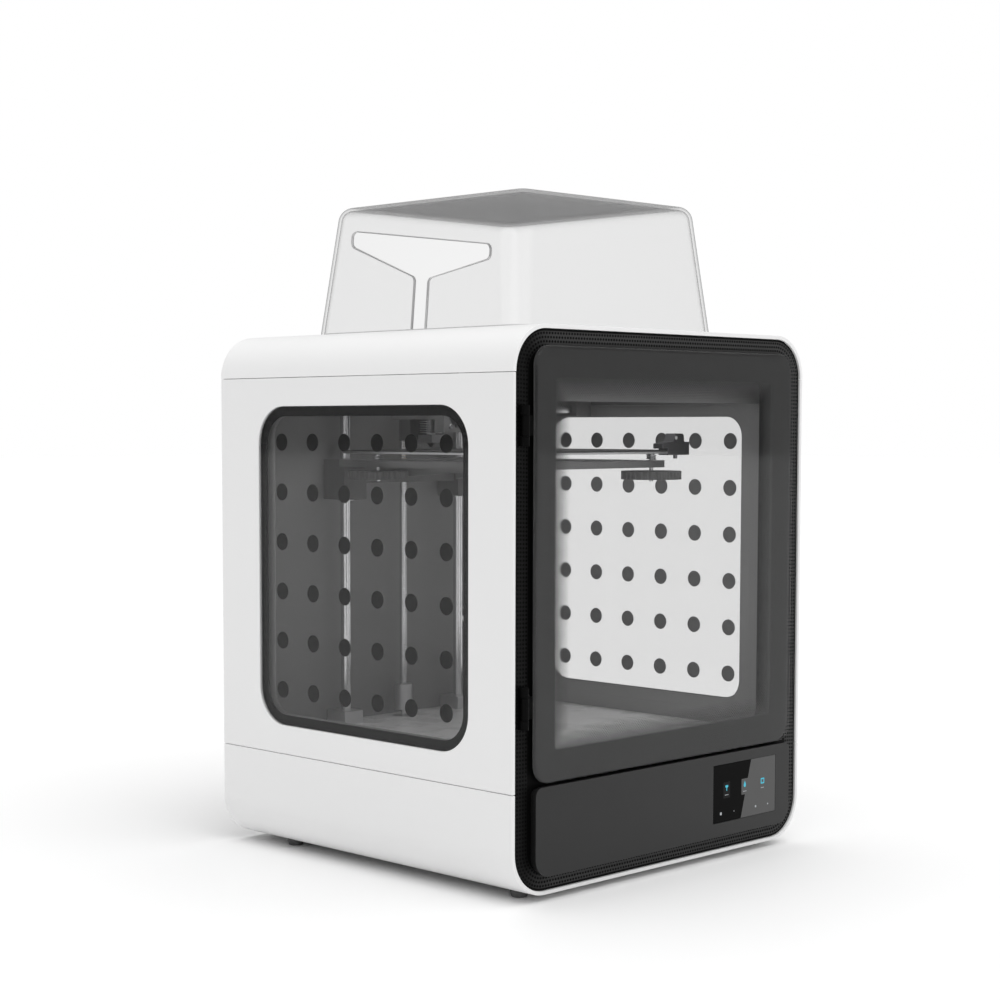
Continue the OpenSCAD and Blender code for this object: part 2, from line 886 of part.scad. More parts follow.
// Fan rotor with its axis along y, from y = 0 to y = t
module fan_rotor(r, hub, t, blades) {
    rotate([-90, 0, 0]) {
        cylinder(h = t, r = hub);
        for (i = [0:blades - 1]) rotate(i * 360 / blades) translate([hub - 1, 0, t / 2])
            rotate([32, 0, 0]) translate([0, -0.6, -t * 0.5]) cube([r - hub, 1.2, t]);
    }
}

module head_fan() {
    color("gray") placed() translate([head_x, gantry_y - 42.5, head_fan_z]) fan_rotor(18.6, 8, 6, 7);
}

module exhaust_fan_frame() {
    half = fan_w / 2;
    y0 = wall_y + 2.4;
    color("black") placed() difference() {
        box([fan_x - half, y0, fan_z - half], [fan_x + half, y0 + 15, fan_z + half]);
        post_y(fan_x, fan_z, y0 - 1, y0 + 12, 37.5);
        for (a = [0:90:270]) translate([fan_x, y0 - 1, fan_z]) rotate([0, a, 0])
            intersection() {
                post_y(0, 0, 0, 20, 37.5);
                box([2, 0, 2], [40, 20, 40]);
            }
    }
}

module exhaust_fan() {
    color("dimgray") placed() translate([fan_x, wall_y + 3, fan_z]) fan_rotor(36.6, 15, 10.5, 7);
}

// ---- electronics and feed --------------------------------------------------

module power_supply() {
    color("silver") placed() {
        x0 = -160;
        box([x0, 100, skin + 4], [x0 + 200, 212, skin + 34]);
        for (x = [x0 + 15, x0 + 185], y = [112, 200]) post(x, y, skin, skin + 4, 4);
        for (i = [0:6]) box([x0 + 13 + i * 9.5, 212, skin + 10], [x0 + 20 + i * 9.5, 220, skin + 20]);
    }
}

module mainboard() {
    z = skin + 10;
    color("darkgreen") placed() {
        box([50, 110, z], [164, 215, z + 1.6]);
        for (x = [56, 158], y = [116, 209]) post(x, y, skin, z, 3);
        for (i = [0:3]) box([62 + i * 24, 130, z + 1.6], [77 + i * 24, 145, z + 11]);
        for (i = [0:4]) box([60 + i * 20, 198, z + 1.6], [72 + i * 20, 210, z + 12]);
        box([95, 160, z + 1.6], [115, 180, z + 3.4]);
    }
}

module power_inlet() {
    y1 = shell_d + 1.8;
    color("black") placed() {
        difference() {
            union() {
                box([inlet_x - 17, shell_d, inlet_z - 15], [inlet_x + 17, y1, rocker_z + 12]);
                box([inlet_x - 13.7, shell_d - 17, inlet_z - 11.7],
                    [inlet_x + 13.7, shell_d, rocker_z + 8.7]);
            }
            box([inlet_x - 12, shell_d - 14, inlet_z - 8.2], [inlet_x + 12, y1 + 1, inlet_z + 8.2]);
            box([inlet_x - 11, shell_d - 9, rocker_z - 7.2], [inlet_x + 11, y1 + 1, rocker_z + 7.2]);
        }
        for (p = [[-7, -2], [0, 2.5], [7, -2]])
            box([inlet_x + p[0] - 1, shell_d - 14, inlet_z + p[1] - 2],
                [inlet_x + p[0] + 1, shell_d - 3, inlet_z + p[1] + 2]);
    }
}

module rocker_switch() {
    tilt = 10;
    color("red") placed() translate([inlet_x, shell_d - 2, rocker_z]) rotate([tilt, 0, 0]) {
        along_x(-9.6, 9.6)
            polygon([[-4, -3], [-4, 3], [1.6, 6.2], [4.4, 6.2], [2.8, 0], [4.4, -6.2], [1.6, -6.2]]);
        post_x(0, 0, -10.6, 10.6, rocker_pin_r);
    }
}

module spool_holder() {
    color("dimgray") placed() difference() {
        union() {
            box([-32, shell_d, spool_z - 40], [32, shell_d + 5, spool_z + 40]);
            post_y(0, spool_z, shell_d + 5, back_y - 4, 15);
            post_y(0, spool_z, back_y - 4, back_y, 25);
        }
        post_y(0, spool_z, shell_d + 6, back_y + 1, 11);
    }
}

module extruder_motor() {
    color("black") placed() difference() {
        box([extruder_x - motor_w / 2, shell_d, extruder_z - motor_w / 2],
            [extruder_x + motor_w / 2, extruder_y, extruder_z + motor_w / 2]);
        post_y(extruder_x, extruder_z, shell_d + 8, extruder_y + 1, 2.5 + run_gap);
    }
}

module extruder_body() {
    y1 = extruder_y + 18;
    color("dimgray") placed() {
        difference() {
            union() {
                box([extruder_x - 21, extruder_y, extruder_z - 21],
                    [extruder_x + 21, y1, extruder_z + 21]);
                post(extruder_x + 9, extruder_y + 10, extruder_z + 21, extruder_z + 33, 5);
                box([extruder_x + 21, extruder_y + 3, extruder_z - 6],
                    [extruder_x + 33, y1 - 3, extruder_z]);
            }
            post_y(extruder_x, extruder_z, extruder_y - 1, y1 + 1, 8);
            post(extruder_x + 9, extruder_y + 10, extruder_z - 30, extruder_z + 40, 1.2);
        }
    }
}

module extruder_gear() {
    y1 = extruder_y + 14;
    teeth = 20;
    color("gold") placed() {
        post_y(extruder_x, extruder_z, shell_d + 10, y1, 2.5);
        difference() {
            post_y(extruder_x, extruder_z, extruder_y + 3, y1, 7);
            post_y(extruder_x, extruder_z, extruder_y + 2, y1 + 1, 2.5);
            for (i = [0:teeth - 1]) translate([extruder_x, extruder_y + 2, extruder_z])
                rotate([0, i * 360 / teeth, 0]) translate([7, 0, 0])
                    rotate([-90, 0, 0]) cylinder(h = 14, r = 0.5, $fn = 16);
        }
    }
}

base_tub();
side_panel_left();
side_panel_right();
top_cover();
rear_cover();
front_bezel();
lower_panel();
touch_screen();
side_windows();
window_prints();
chamber_floor();
chamber_back_wall();
side_liners();
hinge_brackets();
z_rods();
rod_clamps();
z_motor();
gantry_frame();
y_rods();
y_motor();
y_belts();
power_supply();
mainboard();
power_inlet();
exhaust_fan_frame();
spool_holder();
extruder_motor();
extruder_body();
feet();
shell_screws();
door_panel();
door_print();
door_frame();
hinge_leaves();
hood();
bed_bracket();
bed_carriage();
lead_nut();
heated_bed();
print_sheet();
bed_studs();
bed_clips();
levelling_wheel_fl();
levelling_wheel_fr();
levelling_wheel_bl();
levelling_wheel_br();
lead_screw();
screw_coupler();
y_shaft();
x_rods();
gantry_blocks();
x_motor();
x_belt();
head_body();
hotend();
x_pulley();
head_fan();
exhaust_fan();
rocker_switch();
extruder_gear();
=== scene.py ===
"""Looks of an enclosed filament printer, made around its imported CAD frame.

Every piece rides on a CAD body and takes its place from the frame. Sizes are in metres.
"""

import json
import logging
import math
from dataclasses import dataclass, field
from enum import Enum
from typing import Any, Iterable, Sequence

import bmesh
import bpy
from mathutils import Matrix, Vector

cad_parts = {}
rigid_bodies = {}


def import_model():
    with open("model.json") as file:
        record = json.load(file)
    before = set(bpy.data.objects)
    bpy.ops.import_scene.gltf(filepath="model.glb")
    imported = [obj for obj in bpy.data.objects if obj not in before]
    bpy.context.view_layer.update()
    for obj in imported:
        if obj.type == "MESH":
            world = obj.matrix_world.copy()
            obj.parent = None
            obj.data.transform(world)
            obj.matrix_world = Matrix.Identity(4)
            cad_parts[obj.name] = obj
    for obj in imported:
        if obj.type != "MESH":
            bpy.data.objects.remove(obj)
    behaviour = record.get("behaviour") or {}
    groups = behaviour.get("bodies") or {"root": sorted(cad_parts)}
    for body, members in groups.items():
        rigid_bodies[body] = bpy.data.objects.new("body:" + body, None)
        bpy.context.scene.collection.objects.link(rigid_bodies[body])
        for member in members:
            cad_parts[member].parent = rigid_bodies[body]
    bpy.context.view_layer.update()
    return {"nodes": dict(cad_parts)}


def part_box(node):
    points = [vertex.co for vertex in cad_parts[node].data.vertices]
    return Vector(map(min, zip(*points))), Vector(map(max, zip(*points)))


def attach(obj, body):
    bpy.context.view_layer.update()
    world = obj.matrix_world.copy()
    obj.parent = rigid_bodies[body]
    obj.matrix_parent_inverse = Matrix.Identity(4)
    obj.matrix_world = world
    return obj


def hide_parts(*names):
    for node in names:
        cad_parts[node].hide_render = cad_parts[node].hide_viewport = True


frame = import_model()

LOG = logging.getLogger("printer")
MM = 0.001
SAME_POINT = 0.01 * MM
NEARLY_FLAT = 0.01
FLAT_FACET = math.radians(0.4)
THIN_SPOT = 0.02
SQUARE = ((-1, -1), (1, -1), (1, 1), (-1, 1))
CORNERS = ("fl", "fr", "bl", "br")
Point2 = tuple[float, float]
Point3 = tuple[float, float, float]
Colour = tuple[float, float, float]


class Axis(Enum):
    """The row axis that a flat outline is extruded along."""

    X = "x"
    Y = "y"
    Z = "z"

    def matrix(self) -> Matrix:
        """Returns the turn that takes (u, v, w) to the row frame, with w along this axis."""
        if self is Axis.X:
            return Matrix(((0, 0, 1, 0), (1, 0, 0, 0), (0, 1, 0, 0), (0, 0, 0, 1)))
        if self is Axis.Y:
            return Matrix(((1, 0, 0, 0), (0, 0, -1, 0), (0, 1, 0, 0), (0, 0, 0, 1)))
        return Matrix.Identity(4)

    def span(self, node: str) -> tuple[Vector, Vector]:
        """Returns the corners of a CAD node's box in (u, v, w)."""
        ends = [self.matrix().inverted() @ Vector(corner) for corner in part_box(node)]
        return Vector(map(min, *ends)), Vector(map(max, *ends))


def centre(node: str) -> Vector:
    """Returns the middle of a CAD node's box."""
    low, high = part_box(node)
    return (Vector(low) + Vector(high)) / 2


# ---------------------------------------------------------------- node writing


class Signal:
    """A number in a node tree that Python's operators can work on."""

    def __init__(self, tree: "Tree", socket: bpy.types.NodeSocket) -> None:
        """Wraps one output socket of a tree."""
        self.tree = tree
        self.socket = socket

    def math(self, operation: str, *values: Any) -> "Signal":
        """Adds one Math node and returns its result."""
        node = self.tree.add("ShaderNodeMath", dict(enumerate(values)), operation=operation)
        return Signal(self.tree, node.outputs[0])

    def __add__(self, other: Any) -> "Signal":
        """Sum."""
        return self.math("ADD", self, other)

    __radd__ = __add__

    def __mul__(self, other: Any) -> "Signal":
        """Product."""
        return self.math("MULTIPLY", self, other)

    __rmul__ = __mul__

    def __sub__(self, other: Any) -> "Signal":
        """Difference."""
        return self.math("SUBTRACT", self, other)

    def __rsub__(self, other: Any) -> "Signal":
        """Difference with this signal on the right."""
        return self.math("SUBTRACT", other, self)

    def __truediv__(self, other: Any) -> "Signal":
        """Quotient."""
        return self.math("DIVIDE", self, other)

    def __pow__(self, other: float) -> "Signal":
        """Power."""
        return self.math("POWER", self, other)

    def __abs__(self) -> "Signal":
        """Absolute value."""
        return self.math("ABSOLUTE", self)

    def least(self, other: Any) -> "Signal":
        """Returns the smaller of this and another number."""
        return self.math("MINIMUM", self, other)

    def most(self, other: Any) -> "Signal":
        """Returns the larger of this and another number."""
        return self.math("MAXIMUM", self, other)

    def whole(self) -> "Signal":
        """Returns the nearest whole number."""
        return self.math("ROUND", self)

    def under(self, other: Any) -> "Signal":
        """Returns 1 where this is less than another number, or else 0."""
        return self.math("LESS_THAN", self, other)


class Tree:
    """A node tree with one method that adds any node."""

    def __init__(self, tree: bpy.types.NodeTree) -> None:
        """Takes a node tree and empties it."""
        self.tree = tree
        self.tree.nodes.clear()

    def add(self, kind: str, inputs: dict[Any, Any] | None = None, **settings: Any) -> bpy.types.Node:
        """Adds a node.

        Args:
            kind: The node's type.
            inputs: Values, sockets or signals for its inputs, by name or number.
            settings: Its own properties, set before its sockets.

        Returns:
            The new node.
        """
        node = self.tree.nodes.new(kind)
        for name, value in settings.items():
            setattr(node, name, value)
        for name, value in (inputs or {}).items():
            if isinstance(value, Signal):
                value = value.socket
            if isinstance(value, bpy.types.NodeSocket):
                self.tree.links.new(value, node.inputs[name])
            else:
                node.inputs[name].default_value = value
        return node

    def split(self, vector: bpy.types.NodeSocket) -> tuple[Signal, Signal, Signal]:
        """Returns the three parts of a vector."""
        node = self.add("ShaderNodeSeparateXYZ", {0: vector})
        return tuple(Signal(self, output) for output in node.outputs)


class Look(Tree):
    """One material's node tree."""

    def __init__(self, name: str) -> None:
        """Starts an empty tree."""
        self.material = bpy.data.materials.new(name)
        self.material.use_nodes = True
        super().__init__(self.material.node_tree)

    def place(self, stretch: Sequence[float] = (1, 1, 1)) -> bpy.types.NodeSocket:
        """Returns object coordinates in metres, stretched along each axis."""
        source = self.add("ShaderNodeTexCoord").outputs["Object"]
        return self.add("ShaderNodeMapping", {"Vector": source, "Scale": stretch}).outputs[0]

    def noise(self, scale: float, detail: float = 2, stretch: Sequence[float] = (1, 1, 1)) -> Signal:
        """Returns a noise between 0 and 1.

        Args:
            scale: Cells in a metre.
            detail: Octaves.
            stretch: Scale along each axis.
        """
        inputs = {"Vector": self.place(stretch), "Scale": scale, "Detail": detail}
        return Signal(self, self.add("ShaderNodeTexNoise", inputs).outputs[0])

    def facing(self) -> Signal:
        """Returns 0 where the surface is seen square on and 1 where it is seen edge on."""
        return Signal(self, self.add("ShaderNodeLayerWeight", {"Blend": 0.5}).outputs["Facing"])

    def blend(self, factor: Any, first: Colour, second: Colour) -> bpy.types.NodeSocket:
        """Returns a mix of two colours."""
        inputs = {0: factor, 6: (*first, 1), 7: (*second, 1)}
        return self.add("ShaderNodeMix", inputs, data_type="RGBA").outputs[2]

    def bump(self, height: Signal, strength: float, distance: float) -> bpy.types.NodeSocket:
        """Returns a normal raised by a height signal over a distance in metres."""
        inputs = {"Strength": strength, "Distance": distance, "Height": height}
        return self.add("ShaderNodeBump", inputs).outputs[0]

    def principled(self, inputs: dict[str, Any]) -> bpy.types.NodeSocket:
        """Adds a Principled shader and returns its output."""
        return self.add("ShaderNodeBsdfPrincipled", inputs).outputs[0]

    def close(self, shader: bpy.types.NodeSocket) -> bpy.types.Material:
        """Ends the tree with a shader and returns the material."""
        self.add("ShaderNodeOutputMaterial", {"Surface": shader})
        return self.material


def grey(value: int) -> Colour:
    """Returns the linear colour of an 8 bit sRGB grey."""
    level = value / 255
    linear = level / 12.92 if level <= 0.04045 else ((level + 0.055) / 1.055) ** 2.4
    return (linear, linear, linear)


def scaled(colour: Colour, factor: float) -> Colour:
    """Returns a colour made lighter or darker."""
    return tuple(min(1.0, channel * factor) for channel in colour)


@dataclass(frozen=True)
class Finish:
    """Base of all finishes."""

    name: str

    def build(self) -> bpy.types.Material:
        """Returns a new material with this finish."""
        raise NotImplementedError


@dataclass(frozen=True)
class Coated(Finish):
    """Paint or moulded plastic with a fine grain, slight mottling and uneven gloss."""

    colour: Colour
    roughness: float
    grain: float = 1400.0
    depth: float = 0.12
    mottle: float = 0.05
    specular: float = 0.5
    cloud: float = 9.0
    wear: float = 34.0
    wear_change: float = 0.12
    grain_change: float = 0.06
    relief: float = 0.0002

    def build(self) -> bpy.types.Material:
        """Returns a new material with this finish."""
        look = Look(self.name)
        cloud = look.noise(self.cloud, 3)
        fine = look.noise(self.grain, 2)
        colour = look.blend(
            cloud, scaled(self.colour, 1 - self.mottle), scaled(self.colour, 1 + self.mottle)
        )
        rough = self.roughness + (look.noise(self.wear, 4) - 0.5) * self.wear_change
        rough = rough + (fine - 0.5) * self.grain_change
        shader = look.principled(
            {
                "Base Color": colour,
                "Roughness": rough,
                "Normal": look.bump(fine, self.depth, self.relief),
                "Specular IOR Level": self.specular,
            }
        )
        return look.close(shader)


@dataclass(frozen=True)
class ShadedGauze(Finish):
    """Dark plastic with painted shade: darkest at the left, where the bezel lies in shade, growing lighter
    along the row's x axis.
    """

    painted_shade_colour: Colour
    far: Colour
    start: float
    end: float
    roughness: float = 0.5

    def build(self) -> bpy.types.Material:
        """Returns a new material with this finish."""
        look = Look(self.name)
        across, _, _ = look.split(look.place())
        share = ((across - self.start) / (self.end - self.start)).most(0.0).least(1.0)
        fine = look.noise(1900, 2)
        shader = look.principled(
            {
                "Base Color": look.blend(share, self.painted_shade_colour, self.far),
                "Roughness": self.roughness + (fine - 0.5) * 0.1,
                "Specular IOR Level": 0.15,
            }
        )
        return look.close(shader)


@dataclass(frozen=True)
class Metal(Finish):
    """Bare metal with tool marks drawn along one axis."""

    colour: Colour
    roughness: float
    lay: Sequence[float] = (1, 1, 1)
    mark: float = 700.0
    depth: float = 0.15

    def build(self) -> bpy.types.Material:
        """Returns a new material with this finish."""
        look = Look(self.name)
        marks = look.noise(self.mark, 3, self.lay)
        stain = look.noise(25, 3)
        colour = look.blend(stain, scaled(self.colour, 0.88), scaled(self.colour, 1.08))
        shader = look.principled(
            {
                "Base Color": colour,
                "Metallic": 1.0,
                "Roughness": self.roughness + (marks - 0.5) * 0.2 + (stain - 0.5) * 0.1,
                "Normal": look.bump(marks, self.depth, 0.0001),
            }
        )
        return look.close(shader)


@dataclass(frozen=True)
class Clear(Finish):
    """Clear sheet that mirrors its surroundings a little, and more towards its edges."""

    tint: float
    mirror: float = 0.02
    rim: float = 0.6
    falloff: float = 5.0
    shade: Colour = (0.9, 0.9, 0.9)
    metallic: float = 1.0
    roughness: float = 0.03
    specular: float = 0.5

    def build(self) -> bpy.types.Material:
        """Returns a new material with this finish."""
        look = Look(self.name)
        smear = look.noise(14, 3)
        factor = self.mirror + (self.rim - self.mirror) * look.facing() ** self.falloff
        through = look.add("ShaderNodeBsdfTransparent", {"Color": (*(self.tint,) * 3, 1)})
        sheet = look.principled(
            {
                "Base Color": look.blend(smear, scaled(self.shade, 0.97), scaled(self.shade, 1.03)),
                "Metallic": self.metallic,
                "Roughness": self.roughness + smear * 0.02,
                "Specular IOR Level": self.specular,
            }
        )
        mixed = look.add(
            "ShaderNodeMixShader", {0: factor, 1: through.outputs[0], 2: sheet}
        )
        return look.close(mixed.outputs[0])


@dataclass(frozen=True)
class Glow(Finish):
    """Lit mark on a display."""

    colour: Colour
    strength: float

    def build(self) -> bpy.types.Material:
        """Returns a new material with this finish."""
        look = Look(self.name)
        flicker = look.noise(300, 1)
        lit = look.blend(flicker, scaled(self.colour, 0.9), self.colour)
        shader = look.principled(
            {
                "Base Color": lit,
                "Roughness": 0.3,
                "Emission Color": lit,
                "Emission Strength": self.strength,
            }
        )
        return look.close(shader)


class Palette(Enum):
    """All finishes of the printer."""

    SHELL = Coated("shell_paint", grey(239), 0.38, grain=1100, depth=0.05, mottle=0.008)
    COVER = Coated("cover_plastic", grey(243), 0.38, grain=1100, depth=0.05, mottle=0.008)
    BEZEL = Coated("bezel_plastic", grey(8), 0.5, grain=1900, depth=0.0, specular=0.05)
    # Near black discs laid proud of a face: painted shade standing for holes, with no holes cut.
    HOLE_SHADE = Coated("bezel_pit", grey(8), 0.6, grain=1900, depth=0.0, specular=0.05)
    # Gauze colour: near black at the bezel's left strip as painted shade, rising to the face's own grey
    # towards the right.
    GAUZE = ShadedGauze("bezel_gauze", grey(4), grey(60), -182 * MM, -150 * MM)
    FOOT = Coated("foot_rubber", grey(96), 0.8, grain=2000, depth=0.3, specular=0.3)
    BLACK = Coated("black_plastic", grey(24), 0.45, grain=1900, depth=0.2, specular=0.3)
    FRONT = Coated("front_gloss", grey(26), 0.32, grain=2400, depth=0.0, specular=0.35)
    DOOR_INK = Coated("door_ink", grey(52), 0.4, grain=2400, depth=0.0, specular=0.2)
    DOT_BACK = Coated("window_ink_inside", grey(112), 0.5, grain=2400, depth=0.03, specular=0.2)
    DOT_INK = Coated("window_ink", grey(22), 0.4, grain=2400, depth=0.03, specular=0.2)
    SHEET_METAL = Coated("grey_sheet_metal", grey(112), 0.42, grain=1300, depth=0.1)
    WALL = Coated("chamber_wall", grey(132), 0.5, grain=1300, depth=0.03)
    GROUND = Coated("chamber_floor", grey(248), 0.28, grain=1300, depth=0.0, mottle=0.02)
    REAR_METAL = Coated("rear_sheet_metal", grey(58), 0.5, grain=1300, depth=0.2)
    LINER = Coated("liner_sheet", grey(152), 0.45, grain=1300, depth=0.06)
    MOTOR = Coated("motor_black", grey(44), 0.4, grain=900, depth=0.2)
    MOULDED = Coated("moulded_grey", grey(78), 0.5, grain=1500, depth=0.15)
    # Painted light: a lighter copy of the carriage grey, given to the print head to cancel the shade it
    # sits in.
    HEAD = Coated("head_grey_painted_light", grey(138), 0.5, grain=1500, depth=0.1)
    CARRIAGE = Coated("carriage_grey", grey(84), 0.5, grain=1500, depth=0.15)
    RUBBER = Coated("rubber_black", grey(34), 0.8, grain=2000, depth=0.4, specular=0.3)
    BOARD = Coated("board_green", (0.015, 0.09, 0.045), 0.4, grain=600, depth=0.2)
    GRIT = Coated("print_surface", grey(46), 0.6, grain=1500, depth=0.7, mottle=0.12)
    SCREEN = Coated("screen_glass", grey(10), 0.3, grain=300, depth=0.0, specular=0.03)
    # Painted reflection: a lighter grey laid on the dark screen as glare, also on the marks that lie inside
    # the glare.
    PAINTED_GLARE = Coated("painted_glare_grey", grey(94), 0.3, grain=300, depth=0.0, specular=0.05)
    TILE = Coated("screen_tile", grey(30), 0.3, grain=300, depth=0.0, specular=0.05)
    PIN = Coated("white_pin", grey(240), 0.3, grain=900, depth=0.05)
    ROCKER = Coated("rocker_black", grey(26), 0.35, grain=1500, depth=0.1)
    STEEL = Metal("ground_steel", (0.78, 0.78, 0.79), 0.2, lay=(1, 1, 0.02), depth=0.02)
    STEEL_ACROSS = Metal("ground_steel_across", (0.62, 0.62, 0.63), 0.24, lay=(0.1, 0.1, 1), depth=0.05)
    CLIP = Metal("clip_steel", (0.2, 0.2, 0.21), 0.4, lay=(0.2, 1, 1))
    ALUMINIUM = Metal("satin_aluminium", (0.7, 0.7, 0.71), 0.38, lay=(0.1, 1, 1), depth=0.08)
    CASE = Metal("zinc_case", (0.55, 0.55, 0.56), 0.45, lay=(0.1, 1, 1))
    BRASS = Metal("turned_brass", (0.75, 0.55, 0.25), 0.3, depth=0.08)
    CLEAR_DOOR = Clear("clear_door", 0.935, mirror=0.022)
    CLEAR_WINDOW = Clear("clear_window", 0.90, mirror=0.024)
    CLEAR_HOOD = Clear(
        "clear_hood",
        0.968,
        mirror=0.004,
        rim=0.9,
        falloff=3.0,
        shade=grey(150),
        metallic=0.0,
        roughness=0.12,
        specular=0.0,
    )
    HOOD_RIM = Coated("hood_rim", grey(235), 0.4, grain=1500, depth=0.0)
    CYAN = Glow("cyan_icon", (0.03, 0.4, 0.52), 0.35)
    PALE = Glow("pale_icon", (0.4, 0.42, 0.44), 0.15)

    def material(self) -> bpy.types.Material:
        """Returns this finish's material, built once."""
        found = bpy.data.materials.get(self.value.name)
        return found or self.value.build()


# ---------------------------------------------------------------- geometry nodes


def frozen(bm: bmesh.types.BMesh, name: str = "shape") -> bpy.types.Mesh:
    """Returns an edit mesh as a mesh and frees it."""
    mesh = bpy.data.meshes.new(name)
    bm.to_mesh(mesh)
    bm.free()
    return mesh


def linked(name: str, data: Any) -> bpy.types.Object:
    """Returns a new object of a mesh, light or camera, linked to the scene."""
    made = bpy.data.objects.new(name, data)
    bpy.context.scene.collection.objects.link(made)
    return made


def bake(obj: bpy.types.Object) -> bpy.types.Mesh:
    """Returns an object's mesh with all its modifiers applied."""
    graph = bpy.context.evaluated_depsgraph_get()
    graph.update()
    return bpy.data.meshes.new_from_object(obj.evaluated_get(graph), depsgraph=graph)


class Grower(Tree):
    """A Geometry Nodes tree with named inputs, which is run once and baked to a mesh."""

    def __init__(self, name: str) -> None:
        """Starts a tree with one geometry output."""
        super().__init__(bpy.data.node_groups.new(name, "GeometryNodeTree"))
        self.tree.interface.new_socket("Geometry", in_out="OUTPUT", socket_type="NodeSocketGeometry")
        self.entry = self.add("NodeGroupInput")
        self.exit = self.add("NodeGroupOutput")
        self.ids: dict[str, str] = {}
        self.paint: bpy.types.Node | None = None

    def number(self, name: str, kind: str = "Float") -> Signal:
        """Adds a named input and returns its socket."""
        item = self.tree.interface.new_socket(name, in_out="INPUT", socket_type=f"NodeSocket{kind}")
        self.ids[name] = item.identifier
        return Signal(self, next(s for s in self.entry.outputs if s.identifier == item.identifier))

    def numbers(self, *names: str, kind: str = "Float") -> list[Signal]:
        """Adds named inputs of one kind and returns their sockets."""
        return [self.number(name, kind) for name in names]

    def peg(self) -> bpy.types.NodeSocket:
        """Adds the object input named Peg and returns its shape."""
        info = self.add("GeometryNodeObjectInfo", {"Object": self.number("Peg", "Object")})
        return info.outputs["Geometry"]

    def rod(self, sides: Any, radius: Signal, depth: Signal) -> bpy.types.NodeSocket:
        """Returns an upright cylinder."""
        inputs = {"Vertices": sides, "Radius": radius, "Depth": depth}
        return self.add("GeometryNodeMeshCylinder", inputs).outputs[0]

    def grid(self, width: Signal, height: Signal, columns: Signal, rows: Signal) -> bpy.types.NodeSocket:
        """Returns a grid of points in the u-v plane."""
        inputs = {"Size X": width, "Size Y": height, "Vertices X": columns, "Vertices Y": rows}
        return self.add("GeometryNodeMeshGrid", inputs).outputs[0]

    def scatter(self, points: bpy.types.NodeSocket, peg: bpy.types.NodeSocket, **more: Any) -> "Grower":
        """Sets a shape on points, ends the tree and returns it.

        Args:
            points: Where the shapes go.
            peg: The shape.
            more: Scale or Rotation of each shape.

        Returns:
            This tree.
        """
        placed = self.add("GeometryNodeInstanceOnPoints", {"Points": points, "Instance": peg, **more})
        return self.close(placed.outputs[0])

    def close(self, geometry: bpy.types.NodeSocket) -> "Grower":
        """Ends the tree with Realize Instances and Set Material, and returns it."""
        real = self.add("GeometryNodeRealizeInstances", {0: geometry})
        self.paint = self.add("GeometryNodeSetMaterial", {0: real.outputs[0]})
        self.tree.links.new(self.paint.outputs[0], self.exit.inputs[0])
        return self

    def run(
        self, values: dict[str, Any], finish: Palette, peg: bmesh.types.BMesh | None = None
    ) -> bpy.types.Mesh:
        """Runs the tree on an empty host.

        Args:
            values: The named inputs.
            finish: The finish that Set Material gives.
            peg: The shape for the input named Peg, which is freed.

        Returns:
            The baked mesh.
        """
        material = finish.material()
        self.paint.inputs["Material"].default_value = material
        helpers = [linked("host", bpy.data.meshes.new("host"))]
        if peg:
            helpers.append(linked("peg", frozen(peg)))
            values = {**values, "Peg": helpers[1]}
        modifier = helpers[0].modifiers.new("grow", "NODES")
        modifier.node_group = self.tree
        for name, value in values.items():
            modifier[self.ids[name]] = value
        mesh = bake(helpers[0])
        for helper in helpers:
            bpy.data.objects.remove(helper)
        mesh.materials.clear()
        mesh.materials.append(material)
        mesh.polygons.foreach_set("material_index", [0] * len(mesh.polygons))
        return mesh


def grid_tree() -> Grower:
    """Returns a tree of round pegs on a grid in the u-v plane."""
    grower = Grower("pegs_on_a_grid")
    columns, rows, sides = grower.numbers("Columns", "Rows", "Sides", kind="Int")
    width, height, radius, depth = grower.numbers("Width", "Height", "Radius", "Depth")
    return grower.scatter(grower.grid(width, height, columns, rows), grower.rod(sides, radius, depth))


def border_tree() -> Grower:
    """Returns a tree of round pegs set along a rectangle with round corners."""
    grower = Grower("pegs_on_a_border")
    count, sides = grower.numbers("Count", "Sides", kind="Int")
    width, height, corner, radius, depth = grower.numbers("Width", "Height", "Corner", "Radius", "Depth")
    path = grower.add("GeometryNodeCurvePrimitiveQuadrilateral", {"Width": width, "Height": height})
    inputs = {0: path.outputs[0], "Count": 12, "Radius": corner}
    soft = grower.add("GeometryNodeFilletCurve", inputs, mode="POLY")
    points = grower.add("GeometryNodeResampleCurve", {"Curve": soft.outputs[0], "Count": count})
    inputs = {"Vertices": sides, "Radius Top": radius, "Radius Bottom": radius, "Depth": depth}
    peg = grower.add("GeometryNodeMeshCone", inputs)
    return grower.scatter(points.outputs[0], peg.outputs[0])


